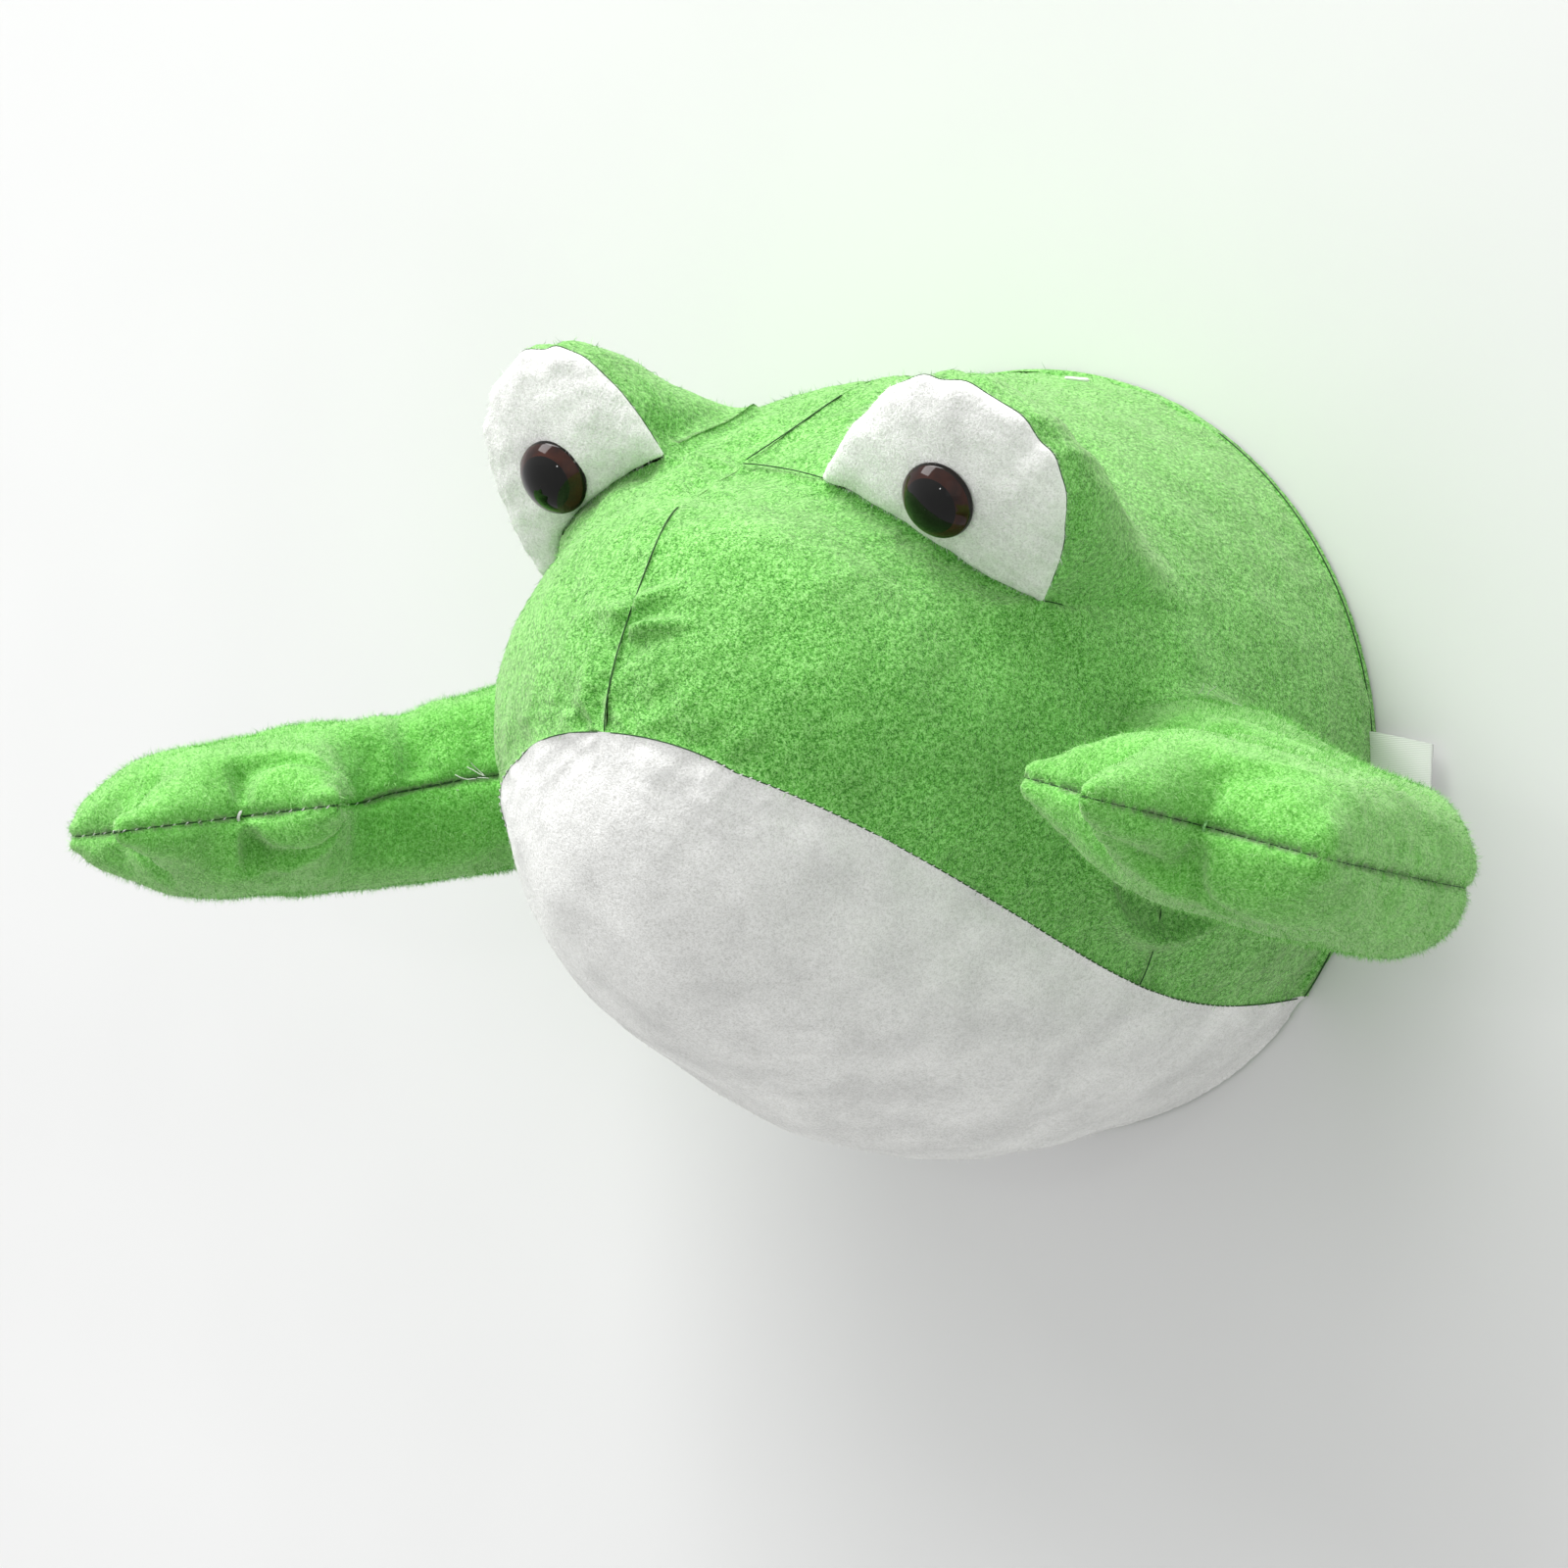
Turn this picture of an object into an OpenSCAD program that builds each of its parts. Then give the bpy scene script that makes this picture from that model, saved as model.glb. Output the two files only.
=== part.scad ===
// Stuffed frog bust with two jointed soft arms on a flat round back.
// The back lies in the plane y = 0 and the snout points along -Y.

/* [Head] */
// Radius of the flat round back
rim_r = 102.5; // [98:0.5:106]
// Depth from the back to the tip of the snout
head_len = 202; // [195:1:210]
// Height of the snout tip above the middle of the back
snout_rise = 18; // [12:1:24]
// Thickness of the fleece skin
skin_t = 1.6; // [1.2:0.1:2]
// Thickness of the board inside the back
board_t = 3; // [2:0.5:4]

/* [Eyes] */
// Diameter of the plastic eye
eye_d = 20; // [18:0.5:22]
// How far the eyes look down, in degrees
eye_tilt = 20; // [10:1:30]
// Height of the eye mound above its seam
mound_h = 49; // [46:0.5:52]
// How much higher the right eye mound is stuffed than the left
mound_raise = 2.5; // [0:0.5:4]
// How far the right eye mound leans towards the middle
right_lean = 8; // [0:0.5:10]
// Swell of the white front of the eye mound
mound_swell = 6; // [4:0.5:7]

/* [Arms] */
// Radius of the stuffed arm
arm_r = 24; // [22:0.5:25]
// Rise of the left hand along its length, in degrees
left_pitch = 11; // [0:0.5:14]
// Rise of the right hand along its length, in degrees
right_pitch = 0; // [0:0.5:8]
// Outward droop of the left arm, in degrees
left_droop = 10; // [0:0.5:14]
// Outward droop of the right arm, in degrees
right_droop = 8.5; // [0:0.5:14]

/* [Label and loop] */
// Width of the satin label beyond the rim
label_w = 18; // [12:0.5:22]
// Height of the satin label
label_h = 20; // [14:0.5:26]
// Width of the tape that the hanging loop is made of
tape_w = 7; // [5:0.5:8]
// Length of the hanging loop
loop_len = 42; // [36:1:48]

/* [Hidden] */

fleece = "limegreen";
felt = "whitesmoke";
fill = "ivory";
skin_k = 1 - skin_t/rim_r;       // scale of the inside of the skin
fill_k = skin_k - 0.02;          // scale of the stuffing, clear of the skin's facets
snout_rows = 11;
crown_rows = 12;
belly_cols = 18;
round_steps = 36;

// ---- the head as one curved surface ----------------------------------------
// t runs from 0 at the back to 1 at the tip, phi is the angle round the axis,
// and k shrinks the surface for its inside.
function bell(y, mid, spread) = exp(-pow((y - mid)/spread, 2));
function smooth(x) = x*x*(3 - 2*x);
function mix(a, b, f) = a + (b - a)*f;
function depth(t) = head_len*sin(90*t);
function axis_z(t) = snout_rise*pow(sin(90*t), 2);
function side_w(t) = rim_r*pow(cos(90*t), 0.93);
function top_h(t) = rim_r*pow(cos(90*t), 1.13)
    *(1 + 0.07*bell(depth(t), 88, 32) + 0.16*bell(depth(t), 176, 16));
function bottom_h(t) = rim_r*pow(cos(90*t), 0.62)*(1 + 0.06*bell(depth(t), 75, 50));
function head_pt(phi, t, k=1) =
    [k*side_w(t)*cos(phi), -k*depth(t), axis_z(t) + k*(phi > 0 ? top_h(t) : bottom_h(t))*sin(phi)];

// ---- the seams --------------------------------------------------------------
// u runs from 0 at the mouth seam to 1 at the seam down the middle.
function mouth_phi(t) = -(36.5 - 30.5*pow(sin(90*t), 2));
function half_pt(u, t, k=1) = head_pt(mix(mouth_phi(t), 90, u), t, k);
function side_seam_t(u) = 0.265 + 0.205*smooth(min(1, 1.33*u));

// ---- the eye mound ----------------------------------------------------------
mound_u_out = 0.47;              // where the mound's seam ends, towards the mouth
mound_u_in = 0.85;               // and towards the middle
mound_back = 0.21;               // how far back in t the mound fades into the crown
mound_full = 1.3;                // above 1 keeps the crown full behind the mound's edge
mound_lean = 22;                 // the mound leans forward, in degrees
mound_square = 0.75;             // 1 makes its top edge an ellipse, and less makes it squarer
mound_steps = 16;

function raise(side) = side == "left" ? 0 : mound_raise;
function lean(side) = side == "left" ? 0 : right_lean;
// where the eye sits across and up the white front, as parts of one
function eye_across(side) = side == "left" ? 0.505 : 0.523;
function eye_up(side) = side == "left" ? 0.325 : 0.366;
function unit(v) = v/norm(v);
function power(x, p) = sign(x)*pow(abs(x), p);
inner_corner = half_pt(mound_u_in, side_seam_t(mound_u_in));
outer_corner = half_pt(mound_u_out, side_seam_t(mound_u_out));
mound_w = norm(outer_corner - inner_corner);
mound_e = unit(outer_corner - inner_corner);
facing = [0, -cos(mound_lean), -sin(mound_lean)];
mound_n = unit(facing - (facing*mound_e)*mound_e);
mound_up = cross(mound_n, mound_e);

function mound_u(a) = mix(mound_u_in, mound_u_out, a);
function ridge_pt(a, side, inset=0) =
    let (across = power(cos(180*a), mound_square), arch = power(sin(180*a), mound_square))
    inner_corner + mound_e*(mound_w/2 - (mound_w/2 - inset)*across - lean(side)*mix(0.6, 1.2, a)*arch)
    + mound_up*(mound_h - inset)*arch + [0, 0, raise(side)*arch];
function swell(a, w, inset) = (mound_swell*sqrt(sin(180*a)) - inset)*sqrt(4*w*(1 - w));
function white_pt(a, w, side, k=1, inset=0) =
    mix(half_pt(mound_u(a), side_seam_t(mound_u(a)), k), ridge_pt(a, side, inset), w)
    + mound_n*swell(a, w, inset);
function crown_lift(u, t, side, k, inset) =
    let (a = (mound_u_in - u)/(mound_u_in - mound_u_out), ts = side_seam_t(u))
    (a < 0 || a > 1) ? [0, 0, 0]
    : (1 - pow(smooth(min(1, (ts - t)/mound_back)), mound_full))*(ridge_pt(a, side, inset) - half_pt(u, ts, k));

// ---- solids from rows of points ---------------------------------------------
function quads(n, m, at, flip) = [for (j = [0:n-2], i = [0:m-2], f = [0, 1])
    let (a = at + j*m + i, b = a + 1, c = b + m, d = a + m,
         tri = f == 0 ? [a, b, c] : [a, c, d])
    flip ? [tri[2], tri[1], tri[0]] : tri];
function band(a, b) = [for (i = [0:len(a)-2], f = [0, 1])
    f == 0 ? [a[i], b[i], b[i+1]] : [a[i], b[i+1], a[i+1]]];
function joined(rows) = [for (row = rows, p = row) p];

// A skin between outer and inner rows. With tips, the last rows close to a point.
module skin(outer, inner, tips=[]) {
    n = len(outer);
    m = len(outer[0]);
    off = n*m;
    end = 2*off;
    tipped = len(tips) > 0;
    left = [for (j = [0:n-1]) j*m];
    right = [for (j = [0:n-1]) j*m + m - 1];
    first = [for (i = [0:m-1]) i];
    last = [for (i = [0:m-1]) (n - 1)*m + i];
    function inside(list) = [for (i = list) i + off];
    fans = [for (i = [0:m-2], f = [0, 1])
        f == 0 ? [last[i+1], last[i], end] : [off + last[i], off + last[i+1], end + 1]];
    edges = concat(band(inside(first), first),
        band(left, inside(left)), band(inside(right), right),
        tipped ? concat(band([last[0], end], [off + last[0], end + 1]),
                        band([off + last[m-1], end + 1], [last[m-1], end]))
               : band(last, inside(last)));
    polyhedron(concat(joined(outer), joined(inner), tips),
        concat(quads(n, m, 0, true), quads(n, m, off, false), edges, tipped ? fans : []));
}

// A closed solid of rings that ends in a point, with a flat back.
module blob(rings, tip) {
    n = len(rings);
    m = len(rings[0]);
    sides = [for (j = [0:n-2], i = [0:m-1], f = [0, 1])
        let (a = j*m + i, b = j*m + (i + 1)%m, c = b + m, d = a + m)
        f == 0 ? [c, b, a] : [d, c, a]];
    nose = [for (i = [0:m-1]) [(n - 1)*m + (i + 1)%m, (n - 1)*m + i, n*m]];
    back = [[for (i = [0:m-1]) i]];
    polyhedron(concat(joined(rings), [tip]), concat(sides, nose, back));
}

module sided(side) { if (side == "left") children(); else mirror([1, 0, 0]) children(); }

// ---- head pieces --------------------------------------------------------------
// Each green half is one panel. It is cut open from the middle seam to the outer
// corner of the eye, and the white front of the eye mound is sewn into the cut.
panel_us = concat([for (i = [0:6]) mound_u_out*i/7],
    [for (i = [0:mound_steps]) mix(mound_u_out, mound_u_in, i/mound_steps)],
    [for (i = [1:4]) mix(mound_u_in, 1, i/4)]);
function snout_row(j, k) = [for (u = panel_us) let (ts = side_seam_t(u))
    half_pt(u, mix(ts, 1, j/snout_rows), k)];
function crown_row(j, side, k, inset) = [for (u = panel_us) let (t = side_seam_t(u)*j/crown_rows)
    half_pt(u, t, k) + crown_lift(u, t, side, k, inset)];
module head_panel(side) {
    color(fleece) sided(side) {
        skin([for (j = [0:snout_rows-1]) snout_row(j, 1)],
            [for (j = [0:snout_rows-1]) snout_row(j, skin_k)],
            [head_pt(0, 1), head_pt(0, 1, skin_k)]);
        skin([for (j = [0:crown_rows]) crown_row(j, side, 1, 0)],
            [for (j = [0:crown_rows]) crown_row(j, side, skin_k, skin_t)]);
    }
}

// The belly's rows end at the same points of the mouth seam as the head panels'.
belly_ts = concat([for (j = [0:crown_rows]) side_seam_t(0)*j/crown_rows],
    [for (j = [1:snout_rows-1]) mix(side_seam_t(0), 1, j/snout_rows)]);
function belly_row(t, k) = [for (i = [0:belly_cols])
    head_pt(mix(-180 - mouth_phi(t), mouth_phi(t), i/belly_cols), t, k)];
module belly_panel() {
    color(felt) skin([for (t = belly_ts) belly_row(t, 1)], [for (t = belly_ts) belly_row(t, skin_k)],
        [head_pt(0, 1), head_pt(0, 1, skin_k)]);
}

disc_r = rim_r*skin_k - 0.3;     // discs inside the rim
loop_top = disc_r - 14;          // sewn edge of the hanging loop
loop_w = 3*tape_w;
recess = 0.9;                    // the loop lies in a shallow recess
module back_disc(t, front) { rotate([90, 0, 0]) translate([0, 0, front]) cylinder(r=disc_r, h=t, $fn=96); }
module back_panel() {
    color(fleece) difference() {
        back_disc(skin_t, 0);
        translate([-loop_w/2 - 0.5, -recess, loop_top - loop_len - 0.5])
            cube([loop_w + 1, recess + 1, loop_len + 1]);
    }
}
module backing_board() { color("tan") back_disc(board_t, skin_t); }

stuffing_t0 = 0.016;             // the stuffing starts on the board
function stuffing_ring(t) = [for (i = [0:round_steps-1])
    head_pt(-180 + 360*(i + 0.5)/round_steps, t, fill_k)];
module head_stuffing() {
    color(fill) difference() {
        blob([for (j = [0:14]) stuffing_ring(mix(stuffing_t0, 0.985, j/14))],
            head_pt(0, 1, fill_k));
        translate([-150, -skin_t - board_t, -150]) cube(300);
    }
}

// ---- eye pieces -----------------------------------------------------------------
white_rows = 8;
function white_row(j, side, k, inset) = [for (i = [0:mound_steps])
    white_pt(i/mound_steps, j/white_rows, side, k, inset)];
function eye_seat(side) = white_pt(eye_across(side), eye_up(side), side);
flange_t = 1.2;                  // rim of the plastic eye
dome_h = 5.4;                    // height of its dome above the rim
dome_r = (pow(eye_d/2, 2) + pow(dome_h, 2))/(2*dome_h);
pupil_d = 0.66*eye_d;
stem_d = 4.2;
stem_len = 13;
washer_d = 15;
washer_gap = 5.5;                // from the seat to the washer

// Turns +Z to the direction that the eye looks.
module at_eye(side) { sided(side) translate(eye_seat(side)) rotate([90 + eye_tilt, 0, 0]) children(); }

module eye_white(side) {
    color(felt) difference() {
        sided(side) skin([for (j = [0:white_rows]) white_row(j, side, 1, 0)],
            [for (j = [0:white_rows]) white_row(j, side, skin_k, skin_t)]);
        at_eye(side) translate([0, 0, -stem_len]) cylinder(d=stem_d + 0.4, h=2*stem_len, $fn=32);
        at_eye(side) translate([0, 0, -0.2]) cylinder(d=eye_d + 0.4, h=10, $fn=48);
    }
}

module eye_iris(side) {
    color("saddlebrown") at_eye(side) difference() {
        union() {
            cylinder(d=eye_d, h=flange_t, $fn=64);
            translate([0, 0, flange_t]) intersection() {
                translate([0, 0, dome_h - dome_r]) sphere(r=dome_r, $fn=64);
                cylinder(d=eye_d, h=dome_h, $fn=64);
            }
        }
        translate([0, 0, -1]) cylinder(d=pupil_d, h=2, $fn=48);
    }
}
module eye_pupil(side) {
    color("black") at_eye(side) {
        cylinder(d=pupil_d, h=1, $fn=48);
        translate([0, 0, -stem_len]) cylinder(d=stem_d, h=stem_len, $fn=32);
    }
}
module eye_washer(side) {
    color("white") at_eye(side) translate([0, 0, -washer_gap - 1.4]) difference() {
        cylinder(d=washer_d, h=1.4, $fn=48);
        translate([0, 0, -1]) cylinder(d=stem_d, h=4, $fn=32);
    }
}
module mound_ball(a, w, back, r, side) {
    translate(white_pt(a, w, side) - mound_n*back) sphere(r=r, $fn=20);
}
module eye_stuffing(side) {
    color(fill) difference() {
        sided(side) hull() {
            mound_ball(0.5, 0.6, 15, 8, side);
            mound_ball(0.3, 0.45, 12, 4, side);
            mound_ball(0.7, 0.45, 12, 4, side);
        }
        at_eye(side) translate([0, 0, -stem_len - 1]) cylinder(d=washer_d + 1, h=stem_len + 10, $fn=32);
    }
}

// ---- trim -------------------------------------------------------------------------
tag_len = 7;
tag_d = 1;
module tag_pin() {
    seat = half_pt(0.9, 0.065);
    color("white") translate(seat + [0, 0, 0.9]) rotate([0, 4, 25]) translate([-tag_len/2, 0, 0])
        rotate([0, 90, 0]) cylinder(d=tag_d, h=tag_len, $fn=24);
}

label_t = 0.5;
label_gap = 0.5;                 // between the rim and the label's sewn edge
label_y = -3;
label_z = 0;
module care_label() {
    color("white") translate([rim_r + label_gap, label_y, label_z - label_h/2])
        cube([label_w, label_t, label_h]);
}

module hanging_loop() {
    color("white") translate([0, -0.7, loop_top - loop_len]) difference() {
        translate([-loop_w/2, 0, 0]) cube([loop_w, 0.6, loop_len]);
        translate([-tape_w/2, -1, tape_w]) cube([tape_w, 3, loop_len - 2*tape_w]);
    }
}

// ---- arms --------------------------------------------------------------------------
// Each arm is laid out flat from its shoulder point, reaching outward along +X
// and forward along -Y, and then tilted.
shoulder = [103, -80, -8];
elbow = [43, -10, 0];
root_r = 7;                      // ball of stuffing sewn into the side of the head
elbow_r = 20;
elbow_gap = 1;
palm = [45, -78, 0];
digit_r = 7;
digits = [[7, -89, 0], [41, -126, 0], [84, -92, 0]];
bend_in = 12;                    // how far the elbow folds towards the snout, in degrees
fold_room = 26;                  // clear of the hand at that fold
upper_end = 36;                  // the upper arm ends here, short of the elbow

function pitch(side) = side == "left" ? left_pitch : right_pitch;
function droop(side) = side == "left" ? left_droop : right_droop;
module at_shoulder(side) {
    sided(side) translate(shoulder) rotate([-pitch(side), droop(side), 0]) children();
}
module ball(at, r) { translate(at) sphere(r=r, $fn=20); }

module upper_form(inset) {
    difference() {
        hull() {
            ball([root_r + arm_r + 1.2, -1, 0], arm_r - inset);
            ball([elbow[0] + 2, elbow[1] + 4, 0], arm_r - inset);
        }
        translate([upper_end, -60, -60]) cube(120);
        translate(elbow - [0, 0, 60]) cylinder(r=elbow_r + elbow_gap, h=120, $fn=64);
        translate(elbow) rotate([0, 0, -bend_in]) translate([-fold_room, -120, -60]) cube(120);
    }
}
module hand_form(inset) {
    hull() {
        ball(elbow, elbow_r - inset);
        ball(elbow + [11, -2, 0], arm_r - inset);
        ball(palm + [-8, 4, 0], arm_r - inset);
        ball(palm + [12, 6, 0], arm_r - inset);
    }
    for (tip = digits) hull() {
        ball(palm, arm_r - 2 - inset);
        ball(palm + 0.55*(tip - palm), 0.72*arm_r - inset);
        ball(tip, digit_r - inset);
    }
}
half_size = 150;
module top_half() { translate([-half_size, -half_size, 0]) cube([2*half_size, 2*half_size, half_size]); }
module bottom_half() { mirror([0, 0, 1]) top_half(); }

module shoulder_root(side) { color(fleece) at_shoulder(side) sphere(r=root_r, $fn=48); }
module upper_arm_top(side) {
    color(fleece) at_shoulder(side) intersection() {
        difference() { upper_form(0); upper_form(skin_t); }
        top_half();
    }
}
module upper_arm_bottom(side) {
    color(fleece) at_shoulder(side) intersection() {
        difference() { upper_form(0); upper_form(skin_t); }
        bottom_half();
    }
}
module upper_arm_stuffing(side) { color(fill) at_shoulder(side) upper_form(skin_t); }
module hand_top(side) {
    color(fleece) at_shoulder(side) intersection() {
        difference() { hand_form(0); hand_form(skin_t); }
        top_half();
    }
}
module hand_bottom(side) {
    color(fleece) at_shoulder(side) intersection() {
        difference() { hand_form(0); hand_form(skin_t); }
        bottom_half();
    }
}
module hand_stuffing(side) { color(fill) at_shoulder(side) hand_form(skin_t); }

head_panel("left");  // left_head_panel
head_panel("right");  // right_head_panel
belly_panel();
back_panel();
backing_board();
head_stuffing();
eye_white("left");  // left_eye_white
eye_white("right");  // right_eye_white
eye_stuffing("left");  // left_eye_stuffing
eye_stuffing("right");  // right_eye_stuffing
eye_iris("left");  // left_eye_iris
eye_iris("right");  // right_eye_iris
eye_pupil("left");  // left_eye_pupil
eye_pupil("right");  // right_eye_pupil
eye_washer("left");  // left_eye_washer
eye_washer("right");  // right_eye_washer
tag_pin();
care_label();
hanging_loop();
shoulder_root("left");  // left_shoulder_root
shoulder_root("right");  // right_shoulder_root
upper_arm_top("left");  // left_upper_arm_top
upper_arm_top("right");  // right_upper_arm_top
upper_arm_bottom("left");  // left_upper_arm_bottom
upper_arm_bottom("right");  // right_upper_arm_bottom
upper_arm_stuffing("left");  // left_upper_arm_stuffing
upper_arm_stuffing("right");  // right_upper_arm_stuffing
hand_top("left");  // left_hand_top
hand_top("right");  // right_hand_top
hand_bottom("left");  // left_hand_bottom
hand_bottom("right");  // right_hand_bottom
hand_stuffing("left");  // left_hand_stuffing
hand_stuffing("right");  // right_hand_stuffing
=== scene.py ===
"""Looks of a stuffed frog bust: brushed green fleece, white felt, plastic eyes and sewn arms.

Lengths are millimetres in the row frame until build() scales them to metres.
The head's curves repeat the design's own formulas, so each cloth piece lies on its solid,
but for a few puffs and folds of stuffed cloth.
"""
import math

import bpy
import numpy as np
from mathutils import Matrix, Vector, geometry
from mathutils.kdtree import KDTree


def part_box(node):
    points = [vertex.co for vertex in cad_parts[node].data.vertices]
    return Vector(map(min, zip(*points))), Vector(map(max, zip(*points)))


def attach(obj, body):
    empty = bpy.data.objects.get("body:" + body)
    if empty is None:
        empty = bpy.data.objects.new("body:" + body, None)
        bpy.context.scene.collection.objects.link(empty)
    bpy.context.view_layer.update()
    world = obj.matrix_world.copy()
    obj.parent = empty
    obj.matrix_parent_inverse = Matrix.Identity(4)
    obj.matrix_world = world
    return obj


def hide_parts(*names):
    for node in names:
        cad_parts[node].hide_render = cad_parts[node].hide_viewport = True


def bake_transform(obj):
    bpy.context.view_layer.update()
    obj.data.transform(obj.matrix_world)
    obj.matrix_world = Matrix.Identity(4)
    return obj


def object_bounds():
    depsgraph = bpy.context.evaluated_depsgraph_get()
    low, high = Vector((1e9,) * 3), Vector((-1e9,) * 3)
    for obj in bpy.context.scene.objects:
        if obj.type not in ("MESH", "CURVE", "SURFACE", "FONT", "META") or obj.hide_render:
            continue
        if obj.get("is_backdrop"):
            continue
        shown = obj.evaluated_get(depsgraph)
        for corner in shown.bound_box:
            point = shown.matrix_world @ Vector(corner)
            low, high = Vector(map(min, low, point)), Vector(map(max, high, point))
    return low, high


MM = 0.001
X_WAY, Z_WAY = np.array([1.0, 0, 0]), np.array([0, 0, 1.0])
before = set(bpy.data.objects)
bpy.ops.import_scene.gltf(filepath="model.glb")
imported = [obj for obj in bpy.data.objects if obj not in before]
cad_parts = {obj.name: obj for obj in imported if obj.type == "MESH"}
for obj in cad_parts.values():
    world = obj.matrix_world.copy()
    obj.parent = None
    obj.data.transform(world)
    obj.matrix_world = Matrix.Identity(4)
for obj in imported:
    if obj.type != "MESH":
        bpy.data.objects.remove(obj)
cad_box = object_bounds()

# ---- the design's driving sizes ----
RIM_R = 102.5
HEAD_LEN = 202.0
SNOUT_RISE = 18.0
EYE_D = 20.0
EYE_TILT = 20.0
FLANGE_T, DOME_H = 1.2, 5.4
MOUND_H = 49.0
MOUND_SWELL = 6.0
MOUND_LEAN = 22.0
MOUND_SQUARE = 0.75
MOUND_U_IN, MOUND_U_OUT, MOUND_BACK = 0.85, 0.47, 0.21
BRIDGE_RISE, CORNER_RISE = 6.5, 4.5
SHOULDER = np.array([103.0, -80.0, -8.0])
ELBOW = np.array([43.0, -10.0])
# raise, lean and full shape the eye mound, root is the rise of the arm where it leaves the head
SIDES = {
    "left": {"sign": 1, "raise": 0.0, "lean": 0.0, "full": 1.3, "root": 5.0,
             "eye": (0.505, 0.325), "pitch": 11.0, "droop": 10.0, "seed": 3},
    "right": {"sign": -1, "raise": 2.5, "lean": 8.0, "full": 1.4, "root": 3.4,
              "eye": (0.523, 0.366), "pitch": 0.0, "droop": 8.5, "seed": 8},
}


def unit(v):
    return v / np.linalg.norm(v, axis=-1, keepdims=True)


def mix(a, b, f):
    return a + (b - a) * f


def smooth(x):
    x = np.clip(x, 0, 1)
    return x * x * (3 - 2 * x)


def bell(y, mid, spread):
    return np.exp(-(((y - mid) / spread) ** 2))


def sin_t(t):
    return np.sin(np.radians(90 * t))


def cos_t(t):
    return np.clip(np.cos(np.radians(90 * t)), 0, 1)


def head_pt(phi, t, k=1.0):
    """A point of the head: t from 0 at the back to 1 at the tip, phi the angle round the axis."""
    depth = HEAD_LEN * sin_t(t)
    side_w = RIM_R * cos_t(t) ** 0.93
    top_h = RIM_R * cos_t(t) ** 1.13 * (1 + 0.07 * bell(depth, 88, 32) + 0.16 * bell(depth, 176, 16))
    bottom_h = RIM_R * cos_t(t) ** 0.62 * (1 + 0.06 * bell(depth, 75, 50))
    c, s = np.cos(np.radians(phi)), np.sin(np.radians(phi))
    z = SNOUT_RISE * sin_t(t) ** 2 + k * np.where(s > 0, top_h, bottom_h) * s
    return np.stack([k * side_w * c, -k * depth + 0 * c, z], -1)


def mouth_phi(t):
    """The angle of the mouth seam, eased to nothing at the tip so that the two halves meet in one curve."""
    ease = np.minimum(1, (cos_t(t) / 0.3) ** 1.24)
    return -(36.5 - 30.5 * sin_t(t) ** 2) * ease


def half_pt(u, t, k=1.0):
    """u runs from 0 at the mouth seam to 1 at the seam down the middle."""
    return head_pt(mix(mouth_phi(t), 90, u), t, k)


def side_seam_t(u):
    return 0.265 + 0.205 * smooth(1.33 * np.asarray(u, float))


INNER_CORNER = half_pt(MOUND_U_IN, side_seam_t(MOUND_U_IN))
OUTER_CORNER = half_pt(MOUND_U_OUT, side_seam_t(MOUND_U_OUT))
MOUND_W = float(np.linalg.norm(OUTER_CORNER - INNER_CORNER))
MOUND_E = unit(OUTER_CORNER - INNER_CORNER)
LEAN = math.radians(MOUND_LEAN)
FACING = np.array([0, -math.cos(LEAN), -math.sin(LEAN)])
MOUND_N = unit(FACING - FACING.dot(MOUND_E) * MOUND_E)
MOUND_UP = np.cross(MOUND_N, MOUND_E)


def power(x, p):
    return np.sign(x) * np.abs(x) ** p


def corner_rise(u, t):
    """The seam turns up in a curve at the outer corner of the eye."""
    amount = CORNER_RISE * bell(u, MOUND_U_OUT - 0.01, 0.055) * bell(t, side_seam_t(u), 0.06)
    return amount[..., None] * MOUND_UP


def bridge_rise(u, t, side):
    """The right half is stuffed so full that the foot of its eye mound stands higher."""
    if side == "left":
        return np.zeros(np.shape(u + t) + (3,))
    along = smooth((u - 0.475) / 0.1) * (1 - smooth((u - 0.9) / 0.1))
    amount = BRIDGE_RISE * along * bell(t, side_seam_t(u), 0.085)
    return amount[..., None] * MOUND_UP


def arch_of(a):
    """The height of the mound's top edge, from 0 at its corners to 1."""
    return power(np.clip(np.sin(np.pi * a), 0, 1), MOUND_SQUARE)


def at_ridge(u):
    """How little of the bridge's rise is left along the mound's top edge."""
    a = np.clip((MOUND_U_IN - u) / (MOUND_U_IN - MOUND_U_OUT), 0, 1)
    return (1 - arch_of(a))[..., None] ** 2


def ridge_pt(a, side):
    """The top edge of the white eye front; a runs from the inner to the outer corner."""
    facts = SIDES[side]
    a = np.clip(a, 0, 1)
    arch = arch_of(a)
    across = MOUND_W / 2 * (1 - power(np.cos(np.pi * a), MOUND_SQUARE))
    across = across - facts["lean"] * mix(0.6, 1.2, a) * arch
    wave = 0.6 * np.sin(2 * np.pi * 4.3 * a + 0.8) + 0.5 * np.sin(2 * np.pi * 8.7 * a + facts["seed"])
    height = MOUND_H * arch + wave * smooth(2 * arch)
    point = INNER_CORNER + np.multiply.outer(across, MOUND_E) + np.multiply.outer(height, MOUND_UP)
    point[..., 2] += facts["raise"] * arch
    return point


def white_pt(a, w, side):
    """The white eye front: w runs from 0 at the snout to 1 at the mound's top edge."""
    u = mix(MOUND_U_IN, MOUND_U_OUT, a)
    base = half_pt(u, side_seam_t(u))
    swell = MOUND_SWELL * np.sqrt(np.clip(np.sin(np.pi * a), 0, 1))
    swell = swell * np.sqrt(np.clip(4 * w * (1 - w), 0, 1))
    return mix(base, ridge_pt(a, side), w[..., None]) + swell[..., None] * MOUND_N


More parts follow.
